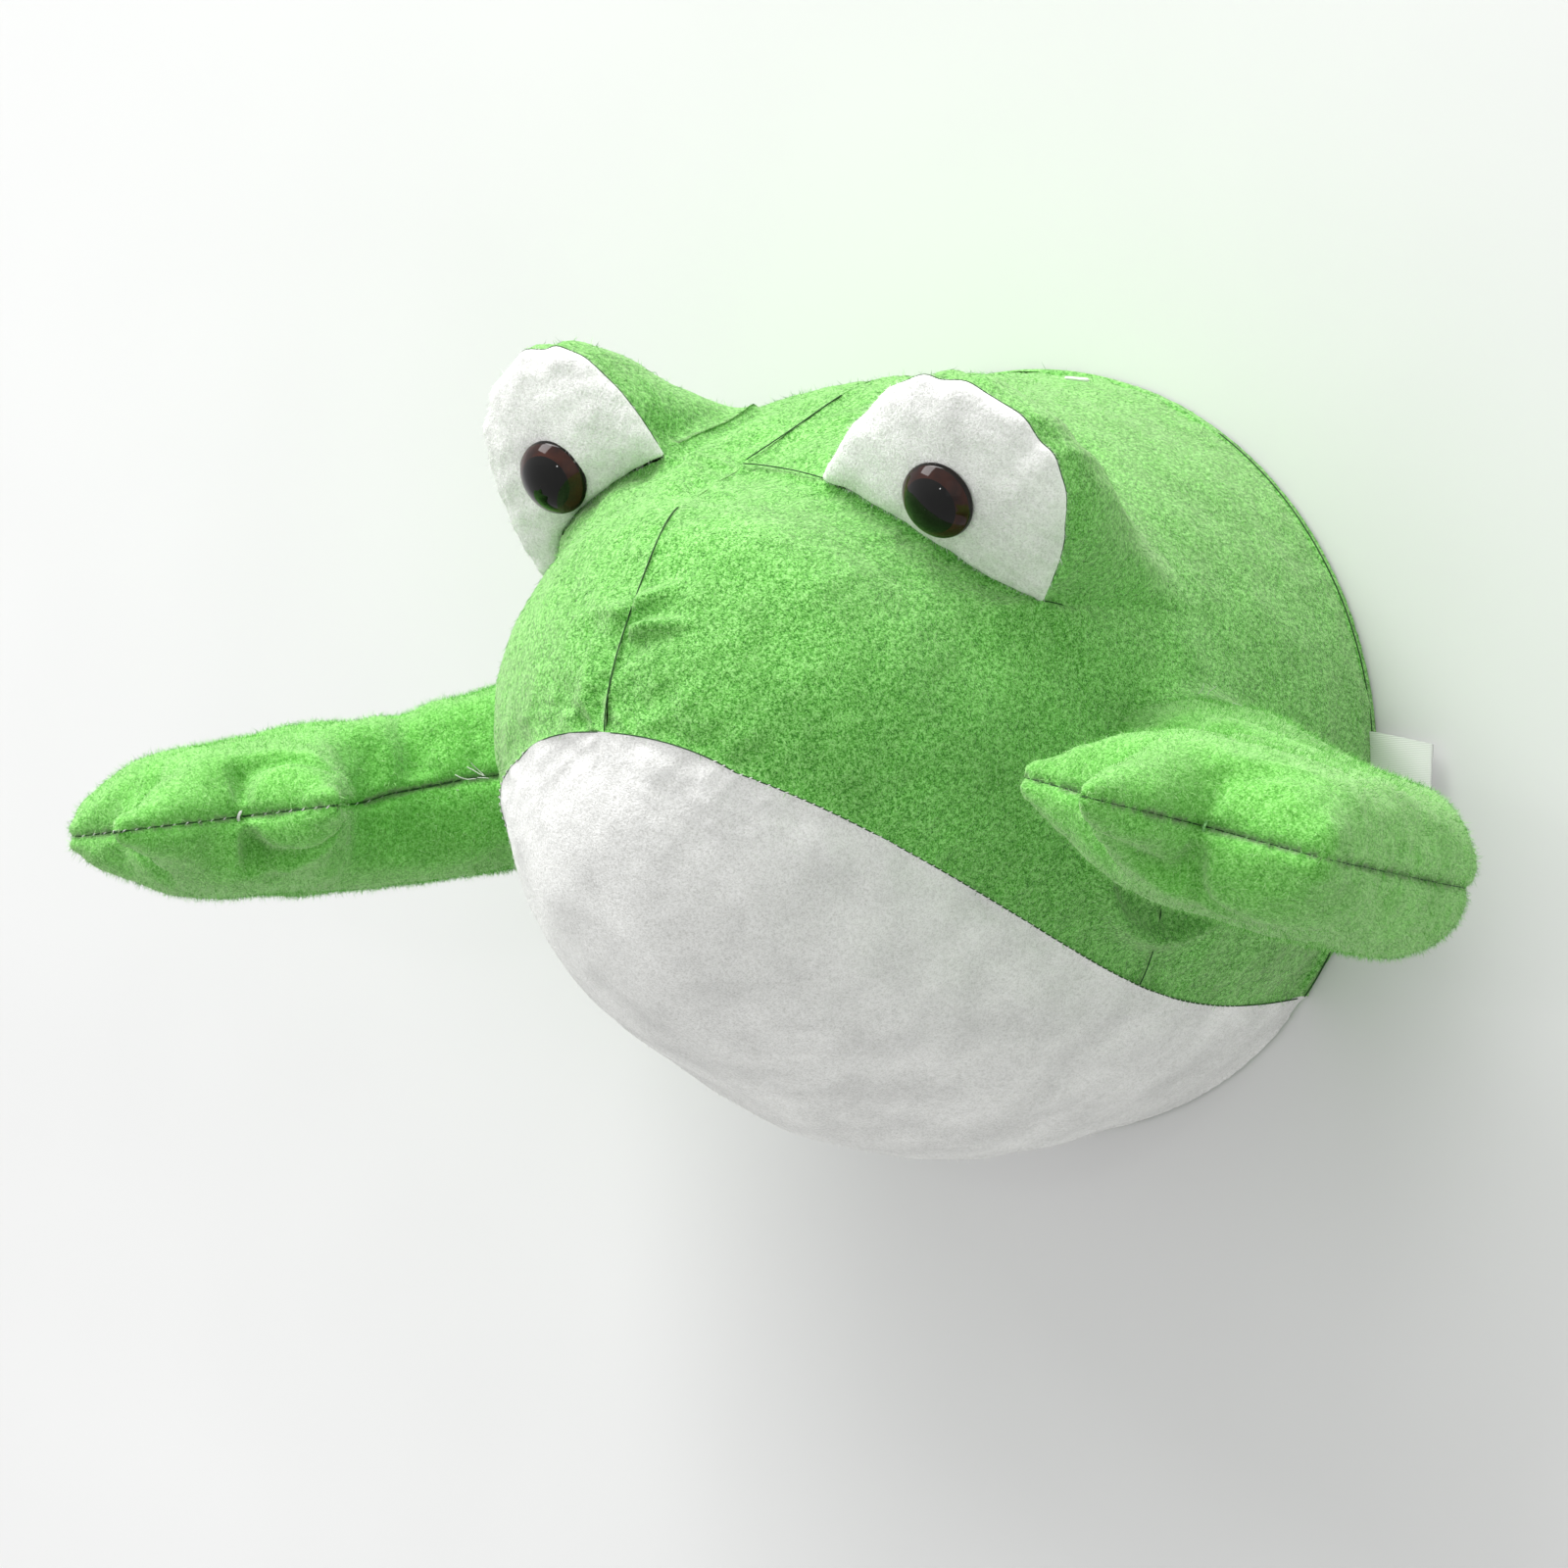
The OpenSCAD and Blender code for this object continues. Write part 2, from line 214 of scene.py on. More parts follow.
def crown_lift(u, t, side):
    """How far the crown is raised to meet the top edge of the white eye front."""
    a = (MOUND_U_IN - u) / (MOUND_U_IN - MOUND_U_OUT)
    ts = side_seam_t(u)
    fade = 1 - smooth((ts - t) / MOUND_BACK) ** SIDES[side]["full"]
    lift = fade[..., None] * (ridge_pt(a, side) - half_pt(u, ts))
    return np.where(((a < -1e-9) | (a > 1 + 1e-9))[..., None], 0.0, lift)


# ---- noise, meshes and materials ----
def wavy(points, size, seed, octaves=2):
    """Smooth seeded noise from -1 to 1 at points, with features of about that size."""
    rng = np.random.default_rng(seed)
    total = np.zeros(points.shape[:-1])
    for octave in range(octaves):
        for _ in range(7):
            way = unit(rng.normal(size=3)) * 2 * np.pi / (size / 2**octave) * rng.uniform(0.6, 1.4)
            total += np.sin(points @ way + rng.uniform(0, 2 * np.pi)) / (2**octave)
    return total / 4.5


def build(name, points, faces, material, smooth_shading=True):
    """A mesh object from points in millimetres."""
    mesh = bpy.data.meshes.new(name)
    mesh.from_pydata((np.asarray(points, float) * MM).tolist(), [], [list(map(int, f)) for f in faces])
    mesh.validate()
    if smooth_shading:
        mesh.polygons.foreach_set("use_smooth", [True] * len(mesh.polygons))
    mesh.update()
    made = bpy.data.objects.new(name, mesh)
    bpy.context.scene.collection.objects.link(made)
    for each in material if isinstance(material, list) else [material]:
        mesh.materials.append(each)
    return made


def grid_faces(rows, cols, offset=0):
    j, i = np.meshgrid(np.arange(rows - 1), np.arange(cols - 1), indexing="ij")
    a = (j * cols + i).ravel() + offset
    return np.stack([a, a + 1, a + cols + 1, a + cols], -1)


def ring_points(centre, right, up, radius, sides):
    angle = 2 * np.pi * np.arange(sides)[:, None] / sides
    return centre + radius * (right * np.cos(angle) + up * np.sin(angle))


def ring_faces(rings, sides):
    """Quads between rings of points that follow each other; each ring closes on itself."""
    here = np.arange(sides)
    there = (here + 1) % sides
    band = np.stack([here, here + sides, there + sides, there], -1)
    return np.concatenate([band + k * sides for k in range(rings - 1)]).tolist()


def normals_of(points, faces):
    """Area-weighted vertex normals of quads or triangles."""
    faces = np.asarray(faces)
    total = np.zeros_like(points)
    face_n = np.cross(points[faces[:, 2]] - points[faces[:, 0]], points[faces[:, -1]] - points[faces[:, 1]])
    for k in range(faces.shape[1]):
        np.add.at(total, faces[:, k], face_n)
    size = np.linalg.norm(total, axis=1, keepdims=True)
    return total / np.maximum(size, 1e-9)


def rgb(r, g, b):
    return (r, g, b, 1.0)


def grey(level):
    return rgb(level, level, level)


def new_node(tree, kind, **values):
    made = tree.nodes.new(kind)
    for key, value in values.items():
        if key in made.inputs:
            made.inputs[key].default_value = value
        else:
            setattr(made, key, value)
    return made


def node_material(name, **values):
    """A material, its tree and its shader; values name the shader's sockets, with _ for spaces."""
    made = bpy.data.materials.new(name)
    made.use_nodes = True
    tree = made.node_tree
    shader = tree.nodes["Principled BSDF"]
    for key, value in values.items():
        shader.inputs[key.replace("_", " ")].default_value = value
    return made, tree, shader


def object_coords(tree):
    return new_node(tree, "ShaderNodeTexCoord").outputs["Object"]


def noise(tree, coords, scale, detail=3.0, roughness=0.6, stretch=None):
    made = new_node(tree, "ShaderNodeTexNoise", Scale=scale, Detail=detail, Roughness=roughness)
    if stretch:
        mapping = new_node(tree, "ShaderNodeMapping", Scale=stretch["scale"], Rotation=stretch["turn"])
        tree.links.new(coords, mapping.inputs["Vector"])
        coords = mapping.outputs["Vector"]
    tree.links.new(coords, made.inputs["Vector"])
    return made.outputs["Fac"]


def ribs(tree, coords, scale, distortion, way):
    made = new_node(tree, "ShaderNodeTexWave", Scale=scale, Distortion=distortion, bands_direction=way)
    tree.links.new(coords, made.inputs["Vector"])
    return made.outputs["Fac"]


def ramp(tree, value, stops):
    made = new_node(tree, "ShaderNodeValToRGB")
    elements = made.color_ramp.elements
    elements[0].position, elements[1].position = stops[0][0], stops[-1][0]
    elements[0].color, elements[1].color = stops[0][1], stops[-1][1]
    for at, colour in stops[1:-1]:
        elements.new(at).color = colour
    tree.links.new(value, made.inputs["Fac"])
    return made.outputs["Color"]


def mix_colour(tree, kind, factor, a, b):
    made = new_node(tree, "ShaderNodeMix", data_type="RGBA", blend_type=kind)
    made.inputs[0].default_value = factor
    tree.links.new(a, made.inputs[6])
    tree.links.new(b, made.inputs[7])
    return made.outputs[2]


def bumps(tree, shader, *layers):
    """Relief on the shader's normal from (height, strength, distance) layers, coarse to fine."""
    below = None
    for height, strength, distance in layers:
        made = new_node(tree, "ShaderNodeBump", Strength=strength, Distance=distance)
        tree.links.new(height, made.inputs["Height"])
        if below:
            tree.links.new(below, made.inputs["Normal"])
        below = made.outputs["Normal"]
    tree.links.new(below, shader.inputs["Normal"])


def paint(tree, shader, value, stops, socket="Base Color"):
    tree.links.new(ramp(tree, value, stops), shader.inputs[socket])


def brushed_cloth(name, dark, mid, light, speck, sheen, sheen_tint, nap=1.0, contrast=1.0):
    """Short brushed nap: clumps of fibres about a millimetre long over slow changes of tone."""
    made, tree, shader = node_material(
        name, Roughness=0.95, Specular_IOR_Level=0.15, Sheen_Weight=sheen, Sheen_Roughness=0.5,
        Sheen_Tint=sheen_tint,
    )
    coords = object_coords(tree)
    along = {"scale": (1.0, 0.55, 0.75), "turn": (0.5, 0.2, 0.0)}
    across = {"scale": (0.6, 1.0, 0.9), "turn": (0.1, 0.7, 0.4)}
    clumps = noise(tree, coords, 1150.0, 3.0, 0.7, along)
    fibres = noise(tree, coords, 2600.0, 2.0, 0.65, across)
    slow = noise(tree, coords, 55.0, 3.0, 0.55)
    step = 0.10 / contrast
    base = ramp(tree, clumps, [(0.5 - step, dark), (0.5, mid), (0.5 + step, light)])
    grain = ramp(tree, fibres, [(0.4, speck), (0.5, mid), (0.6, light)])
    colour = mix_colour(tree, "MIX", 0.5, base, grain)
    patches = ramp(tree, slow, [(0.3, grey(0.86)), (0.7, grey(1.08))])
    colour = mix_colour(tree, "MULTIPLY", 1.0, colour, patches)
    tree.links.new(colour, shader.inputs["Base Color"])
    bumps(tree, shader, (clumps, 0.75 * nap, 0.0010), (fibres, 0.6 * nap, 0.0005))
    return made


def fibre_set(name, **tones):
    """A plain material for each tone of loose fibre."""
    return [
        node_material(f"{name}_{tone}", Base_Color=rgb(*colour), Roughness=0.9, Specular_IOR_Level=0.2)[0]
        for tone, colour in tones.items()
    ]


def thread_material(name, dark, light, scale=2600.0):
    """Twisted sewing thread, or a near-black line of painted shade laid along a seam."""
    made, tree, shader = node_material(name, Roughness=0.7)
    twist = noise(tree, object_coords(tree), scale, 2.0, 0.5)
    paint(tree, shader, twist, [(0.35, dark), (0.65, light)])
    bumps(tree, shader, (twist, 0.5, 0.0002))
    return made


def eye_plastic(name, inner, outer, spot_scale):
    """Glossy moulded plastic, faintly clouded and scuffed."""
    made, tree, shader = node_material(name, IOR=1.5, Specular_IOR_Level=0.3)
    coords = object_coords(tree)
    paint(tree, shader, noise(tree, coords, spot_scale, 2.0, 0.5), [(0.3, inner), (0.72, outer)])
    scuff = noise(tree, coords, 900.0, 4.0, 0.7)
    paint(tree, shader, scuff, [(0.45, grey(0.03)), (0.8, grey(0.11))], "Roughness")
    return made


def satin_material(name):
    made, tree, shader = node_material(name, Roughness=0.42, Sheen_Weight=0.2)
    wave = ribs(tree, object_coords(tree), 700.0, 0.6, "Z")
    paint(tree, shader, wave, [(0.2, rgb(0.78, 0.79, 0.76)), (0.8, rgb(0.9, 0.91, 0.89))])
    bumps(tree, shader, (wave, 0.25, 0.0002))
    return made


def tape_material(name):
    """Plain-weave cotton tape."""
    made, tree, shader = node_material(name, Roughness=0.9)
    coords = object_coords(tree)
    weave = new_node(tree, "ShaderNodeMath", operation="MULTIPLY")
    for socket, direction in enumerate("XZ"):
        tree.links.new(ribs(tree, coords, 420.0, 0.4, direction), weave.inputs[socket])
    paint(tree, shader, weave.outputs[0], [(0.05, rgb(0.6, 0.59, 0.55)), (0.6, rgb(0.86, 0.85, 0.81))])
    bumps(tree, shader, (weave.outputs[0], 0.6, 0.0003))
    return made


fleece = brushed_cloth(
    "green_fleece", rgb(0.03, 0.23, 0.014), rgb(0.135, 0.50, 0.065), rgb(0.36, 0.80, 0.24),
    rgb(0.02, 0.16, 0.008), 0.5, rgb(1.0, 1.0, 0.82),
)
# The arms' cloth is the same green fleece as the head. Its lighter tones are painted sheen, standing in for
# the hazy light on the arms' longer nap.
arm_fleece_painted_sheen = brushed_cloth(
    "green_arm_fleece", rgb(0.07, 0.32, 0.03), rgb(0.15, 0.52, 0.075), rgb(0.30, 0.72, 0.19),
    rgb(0.05, 0.26, 0.022), 0.5, rgb(0.97, 1.0, 0.8), nap=0.7, contrast=0.9,
)
felt = brushed_cloth(
    "white_felt", rgb(0.72, 0.72, 0.70), rgb(0.87, 0.87, 0.85), rgb(0.94, 0.94, 0.925),
    rgb(0.64, 0.64, 0.61), 0.15, rgb(1.0, 1.0, 1.0), nap=0.6, contrast=0.8,
)
white_thread = thread_material("white_thread", rgb(0.6, 0.6, 0.57), rgb(0.9, 0.9, 0.88))
# painted shade: a near-black green for the thin lines laid along the seams, standing in for the shade in
# their grooves and folds
painted_seam_shade = thread_material("painted_seam_shade", rgb(0.004, 0.035, 0.003), rgb(0.016, 0.085, 0.010))
pale_thread = thread_material("pale_green_thread", rgb(0.10, 0.33, 0.07), rgb(0.3, 0.6, 0.25))
green_fibres = fibre_set(
    "green_fibre", light=(0.42, 0.80, 0.29), mid=(0.20, 0.58, 0.11), dark=(0.04, 0.22, 0.015)
)
# The arms' fibres are lighter too: painted sheen, as on the arms' cloth.
arm_fibres_painted_sheen = fibre_set(
    "arm_fibre", light=(0.50, 0.84, 0.36), mid=(0.24, 0.62, 0.14), dark=(0.07, 0.30, 0.03)
)
white_fibres = fibre_set("white_fibre", light=(0.92, 0.92, 0.905), grey=(0.70, 0.70, 0.68))


# ---- head panels ----
def clustered(start, end, count):
    """Values from start to end, closer together near both ends."""
    x = np.linspace(0, 1, count)
    return mix(start, end, 0.5 * x + 0.5 * smooth(x))


PANEL_U = np.concatenate([
    clustered(0, MOUND_U_OUT, 60)[:-1],
    clustered(MOUND_U_OUT, MOUND_U_IN, 70)[:-1],
    clustered(MOUND_U_IN, 1, 26),
])
SNOUT_ROWS, CROWN_ROWS = 110, 100


def near_points(points):
    """A search tree; plan points lie at height 0."""
    tree = KDTree(len(points))
    for k, spot in enumerate(points):
        tree.insert((*spot, 0)[:3], k)
    tree.balance()
    return tree


def distance_to(points, curve):
    """Distance from each point to a densely sampled curve."""
    flat = points.reshape(-1, 3)
    tree = near_points(curve)
    return np.array([tree.find(p)[2] for p in flat]).reshape(points.shape[:-1])


def lips(distance, height, width, reach=13.0):
    """Cloth sewn at a seam: it stays low at the stitches and swells just beside them."""
    return height * (np.exp(-distance / reach) - np.exp(-distance / width))


def off_seam(distance, reach=2.5):
    """0 on a seam and 1 away from it."""
    return 1 - np.exp(-distance / reach)


def crease(points, start, end, depth, width):
    """A soft fold from start, where it is deepest, to end, where it fades out."""
    start, end = np.array(start, float), np.array(end, float)
    along = np.clip((points - start) @ (end - start) / ((end - start) @ (end - start)), 0, 1)
    gap = np.linalg.norm(points - (start + along[..., None] * (end - start)), axis=-1)
    groove = bell(gap, 0, width) - 0.35 * bell(gap, 0, 2.2 * width)
    return -depth * (1 - along) ** 0.7 * groove


# Each fold gives its start, its end, its depth and its width.
HEAD_CREASES = {
    "left": [
        ((3, -193, 43), (19, -189.5, 45.5), 5.6, 2.2),
        ((1.5, -189, 49), (12, -185.5, 54), 3.4, 2.6), ((2, -190, 50), (22, -184, 54), 2.6, 6.0),
        ((2, -180, 66), (12, -176, 68), 1.0, 3.5),
        ((3, -201, 22), (14, -199, 23), 0.8, 3.5),
    ],
    "right": [
        ((-4, -201.5, 17.5), (-9, -198, 30), 4.0, 2.0),
        ((-1, -191, 46), (-12, -189, 47), 3.8, 2.8),
        ((-1, -181, 62), (-10, -180, 60), 1.2, 4.0), ((-1, -190, 48), (-14, -187, 50), 2.0, 5.5),
    ],
}
MOUTH_SEAM = head_pt(mouth_phi(np.linspace(0, 1, 500)), np.linspace(0, 1, 500))
MIDDLE_SEAM = head_pt(90.0, np.linspace(0, 1, 400))
RIM_SEAM = head_pt(np.linspace(-180, 180, 700), 0.0)


def side_seam(start, end, side, count=160):
    u = np.linspace(start, end, count)
    t = side_seam_t(u)
    return half_pt(u, t) + corner_rise(u, t) + bridge_rise(u, t, side)


def ridge_line(side, start=0.0, end=1.0, count=200):
    a = np.linspace(start, end, count)
    u = mix(MOUND_U_IN, MOUND_U_OUT, a)
    t = side_seam_t(u)
    return ridge_pt(a, side) + corner_rise(u, t) + bridge_rise(u, t, side) * at_ridge(u)


def on_side(points, side):
    return points * np.array([SIDES[side]["sign"], 1, 1])


EYE_BASE = {side: side_seam(MOUND_U_OUT, MOUND_U_IN, side) for side in SIDES}
CROSS_SEAM = {side: side_seam(MOUND_U_IN, 1.0, side, 60) for side in SIDES}
SLIT_SEAM = side_seam(0.0, 0.13, "left", 30)


def mound_foot(count=60):
    """The fold between the bridge and the inner foot of the right eye mound."""
    ts = float(side_seam_t(MOUND_U_IN))
    t = ts - np.linspace(0, 0.15, count)
    u = MOUND_U_IN + 0.0 * t
    return half_pt(u, t) + bridge_rise(u, t, "right") * at_ridge(u) + crown_lift(u, t, "right")


FOOT_FOLD = mound_foot()


# a seam, how high the cloth swells beside it, how much more at a pucker, and the groove's width
PANEL_SEAMS = [
    (MOUTH_SEAM, 1.5, 0.8, 1.6), (MIDDLE_SEAM, 1.2, 0.9, 1.4),
    (RIM_SEAM, 1.0, 0.4, 1.6), (SLIT_SEAM, 0.9, 0.0, 1.2),
]
DENT_R, DENT_WIDTH, DENT_DEPTH = 30.0, 2.6, 4.6


def root_dent(points):
    """The head's cloth is drawn in round the root of each arm."""
    wide = np.hypot(points[..., 1] - SHOULDER[1], points[..., 2] - SHOULDER[2])
    return -DENT_DEPTH * bell(wide, DENT_R, DENT_WIDTH) * (np.abs(points[..., 0]) > 60)


def head_panel(side):
    """One green half: snout and crown, cut open where the eye mound's white front is sewn in."""
    facts = SIDES[side]
    u, cols = PANEL_U, len(PANEL_U)
    ts = side_seam_t(u)
    t = clustered(0, 1, CROWN_ROWS + 1)[:, None] * ts
    crown = half_pt(u, t) + crown_lift(u + 0 * t, t, side) + corner_rise(u, t)
    crown = crown + bridge_rise(u, t, side) * at_ridge(u + 0 * t)
    t = ts + (1 - ts) * np.linspace(0, 1, SNOUT_ROWS + 1)[:, None]
    snout = half_pt(u, t) + corner_rise(u, t) + bridge_rise(u, t, side)
    pushes = []
    for grid, eye_seam, eye_lip in ((crown, ridge_line(side), 1.0), (snout, EYE_BASE[side], 1.8)):
        pucker = wavy(grid, 10, facts["seed"] + 40)
        eye = distance_to(grid, eye_seam)
        push, seams = lips(eye, eye_lip * (1 + 0.5 * pucker), 1.4), eye
        for line, height, more, width in PANEL_SEAMS + [(CROSS_SEAM[side], 1.1, 0.0, 1.2)]:
            gap = distance_to(grid, line)
            push += lips(gap, height + more * pucker, width)
            seams = np.minimum(seams, gap)
        swells = 0.8 * wavy(grid, 48, facts["seed"]) + 0.3 * wavy(grid, 18, facts["seed"] + 20)
        push += off_seam(seams) * swells + root_dent(grid)
        if side == "right":
            foot = distance_to(grid, FOOT_FOLD)
            clear = smooth((np.linalg.norm(grid - FOOT_FOLD[0], axis=-1) - 1.0) / 7.0)
            push += clear * off_seam(eye, 1.6) * (2.0 * bell(foot, 0, 9.0) - 4.0 * bell(foot, 0, 1.9))
        for fold in HEAD_CREASES[side]:
            push += off_seam(seams, 0.8) * crease(on_side(grid, side), *fold)
        pushes.append(push.ravel())
    points = np.concatenate([crown.reshape(-1, 3), snout.reshape(-1, 3)])
    push = np.concatenate(pushes)
    crown_size = (CROWN_ROWS + 1) * cols
    faces = np.concatenate([grid_faces(CROWN_ROWS + 1, cols), grid_faces(SNOUT_ROWS + 1, cols, crown_size)])
    # outside the eye the snout's first row is the crown's last row
    outside = np.where((u < MOUND_U_OUT + 1e-6) | (u > MOUND_U_IN - 1e-6))[0]
    same = np.arange(len(points))
    same[crown_size + outside] = CROWN_ROWS * cols + outside
    tip = len(points) - cols
    same[tip:] = tip
    faces = same[faces][:, ::-1]
    points = points + normals_of(points, faces) * push[:, None]
    points[:, 0] = np.where(np.tile(u, CROWN_ROWS + SNOUT_ROWS + 2) == 1, 0, points[:, 0])
    return mirror_to(side, points, faces)


def sewn_aside(points):
    """The middle seam wanders to the frog's right between the eyes."""
    y = points[..., 1]
    shift = 6.0 * bell(y, -146, np.where(y < -146, 22, 31)) * bell(points[..., 0], 0, 23)
    return points - (shift * (points[..., 2] > 0))[..., None] * X_WAY


def mirror_to(side, points, faces):
    """Takes a cloth of the left half to its own side of the head."""
    return sewn_aside(on_side(points, side)), faces[:, ::SIDES[side]["sign"]]


def drop_spare(points, faces):
    """Drops points that no face uses, and faces that closed to a line."""
    clean = []
    for face in faces:
        ring = [int(v) for k, v in enumerate(face) if v != face[k - 1]]
        if len(set(ring)) >= 3:
            clean.append(ring)
    used = sorted({v for ring in clean for v in ring})
    order = {v: k for k, v in enumerate(used)}
    return points[used], [[order[v] for v in ring] for ring in clean]


# Soft ripples hang below the mouth seam where the two cloths were eased together.
BELLY_CREASES = [
    ((-4, -201, 15), (-3, -199, 2), 1.6, 1.6), ((12, -200.5, 12), (15, -197, -6), 0.9, 2.4),
    ((26, -195, 9), (30, -190, -12), 0.8, 3.0), ((45, -180, 3), (50, -172, -20), 1.2, 2.6),
    ((58, -168, -3), (60, -160, -26), 0.9, 3.2), ((72, -148, -12), (71, -140, -34), 0.8, 3.0),
    ((-22, -196, 9), (-26, -192, -8), 0.8, 2.6), ((10, -135, -82), (-8, -138, -80), 1.0, 3.0),
]


def belly_panel():
    ts0 = float(side_seam_t(0))
    ahead = np.linspace(0, 1, SNOUT_ROWS + 1)[1:]
    t = np.concatenate([mix(0, ts0, clustered(0, 1, CROWN_ROWS + 1)), mix(ts0, 1, ahead)])
    v = clustered(0, 1, 170)
    tt = t[:, None] + 0 * v[None, :]
    grid = head_pt(mix(-180 - mouth_phi(tt), mouth_phi(tt), v[None, :]), tt)
    mouth = distance_to(np.dstack([np.abs(grid[..., 0]), grid[..., 1:]]), MOUTH_SEAM)
    rim = distance_to(grid, RIM_SEAM)
    pucker = wavy(grid, 12, 33)
    push = lips(mouth, 1.2 + 0.9 * pucker, 1.5) + lips(rim, 1.0, 1.6)
    free = off_seam(np.minimum(mouth, rim))
    push += free * (1.0 * wavy(grid, 52, 31) + 0.35 * wavy(grid, 20, 32))
    for fold in BELLY_CREASES:
        push += off_seam(np.minimum(mouth, rim), 0.8) * crease(grid, *fold)
    points = grid.reshape(-1, 3)
    faces = grid_faces(len(t), len(v))
    same = np.arange(len(points))
    same[-len(v):] = len(points) - len(v)
    faces = same[faces][:, ::-1]
    return points + normals_of(points, faces) * push.reshape(-1)[:, None], faces


def eye_white(side):
    facts = SIDES[side]
    aa, ww = np.meshgrid(clustered(0, 1, 90), clustered(0, 1, 64))
    u = mix(MOUND_U_IN, MOUND_U_OUT, aa)
    rise = corner_rise(u, side_seam_t(u))
    bridge = bridge_rise(u, side_seam_t(u), side)
    grid = white_pt(aa, ww, side) + rise + bridge * mix(1, at_ridge(u), 1 - (1 - ww[..., None]) ** 2)
    edges = np.concatenate([grid[-1], grid[0]])
    edge = distance_to(grid, edges)
    push = lips(edge, 1.0 + 0.6 * wavy(grid, 9, facts["seed"] + 61), 1.3)
    push += off_seam(edge) * 0.22 * wavy(grid, 26, facts["seed"] + 60)
    points = grid.reshape(-1, 3)
    faces = grid_faces(*grid.shape[:2])
    points = points + normals_of(points, faces) * push.reshape(-1)[:, None]
    return mirror_to(side, points, faces)


def back_cloth():
    """The round back, a little sunk in the middle, with its soft edge beyond the rim seam."""
    sides = 256
    around = 2 * np.pi * np.arange(sides) / sides
    profile = [(20.0, -1.3), (40.0, -1.3), (60.0, -1.2), (75.0, -1.1), (88.0, -0.8), (96.0, -0.2),
               (100.0, 0.0), (101.5, -0.4), (102.4, -1.2), (102.3, -2.2), (101.4, -3.2), (99.5, -3.8)]
    # the belly's felt hides the edge underneath
    room = 102.4 - 1.6 * smooth((-np.sin(around) - 0.45) / 0.3)
    rings = [ring_points(np.array([0, y, 0]), X_WAY, Z_WAY, np.minimum(r, room)[:, None], sides)
             for r, y in profile]
    points = np.concatenate(rings + [[[0.0, -1.3, 0.0]]])
    points[:, 1] -= 0.15 + 0.15 * wavy(points, 22, 91)
    middle = [[len(points) - 1, i, (i + 1) % sides] for i in range(sides)]
    return points, ring_faces(len(profile), sides) + middle


# ---- stitches, threads and nap ----
def tube(path, radius, sides=6):
    """Points and faces of a round thread along a path, closed at its ends."""
    path = np.asarray(path, float)
    ahead = unit(np.gradient(path, axis=0))
    across = unit(np.cross(ahead[0], [0.31, 0.2, 0.93]))
    points = []
    for k, (centre, way) in enumerate(zip(path, ahead)):
        across = unit(across - across.dot(way) * way)
        other = np.cross(way, across)
        share = 0.35 if k in (0, len(path) - 1) else 1.0
        points.extend(ring_points(centre, across, other, radius * share, sides))
    first, last = list(range(sides)), list(range(len(points) - sides, len(points)))
    walls = [face[:1] + face[:0:-1] for face in ring_faces(len(path), sides)]
    return points, walls + [first[::-1], last]


def join_parts(parts):
    points, faces = [], []
    for part_points, part_faces in parts:
        start = len(points)
        points.extend(part_points)
        faces.extend([[v + start for v in face] for face in part_faces])
    return np.array(points), faces


def run_of(path):
    """The length along a path at each of its points."""
    return np.concatenate([[0], np.cumsum(np.linalg.norm(np.diff(path, axis=0), axis=1))])


def at_marks(path, reach, marks):
    return np.stack([np.interp(marks, reach, column) for column in path.T], -1)


def resample(path, spacing):
    reach = run_of(path)
    return at_marks(path, reach, np.arange(0, reach[-1], spacing))


def stitches(path, outward, pitch, length, radius, seed, across=0.0, lift=0.25):
    """A row of short stitches along a path; across turns each one over the seam."""
    rng = np.random.default_rng(seed)
    spots = resample(path, pitch)
    ways = unit(np.gradient(spots, axis=0))
    parts = []
    for spot, way in zip(spots, ways):
        out = outward(spot)
        over = np.cross(out, way)
        run = unit(way + across * rng.uniform(0.7, 1.3) * over)
        size = length * rng.uniform(0.75, 1.2)
        bow = np.linspace(-0.5, 0.5, 5)
        line = [spot + run * size * b + out * (lift - 2.2 * radius * (2 * b) ** 2) for b in bow]
        parts.append(tube(line, radius))
    return join_parts(parts)


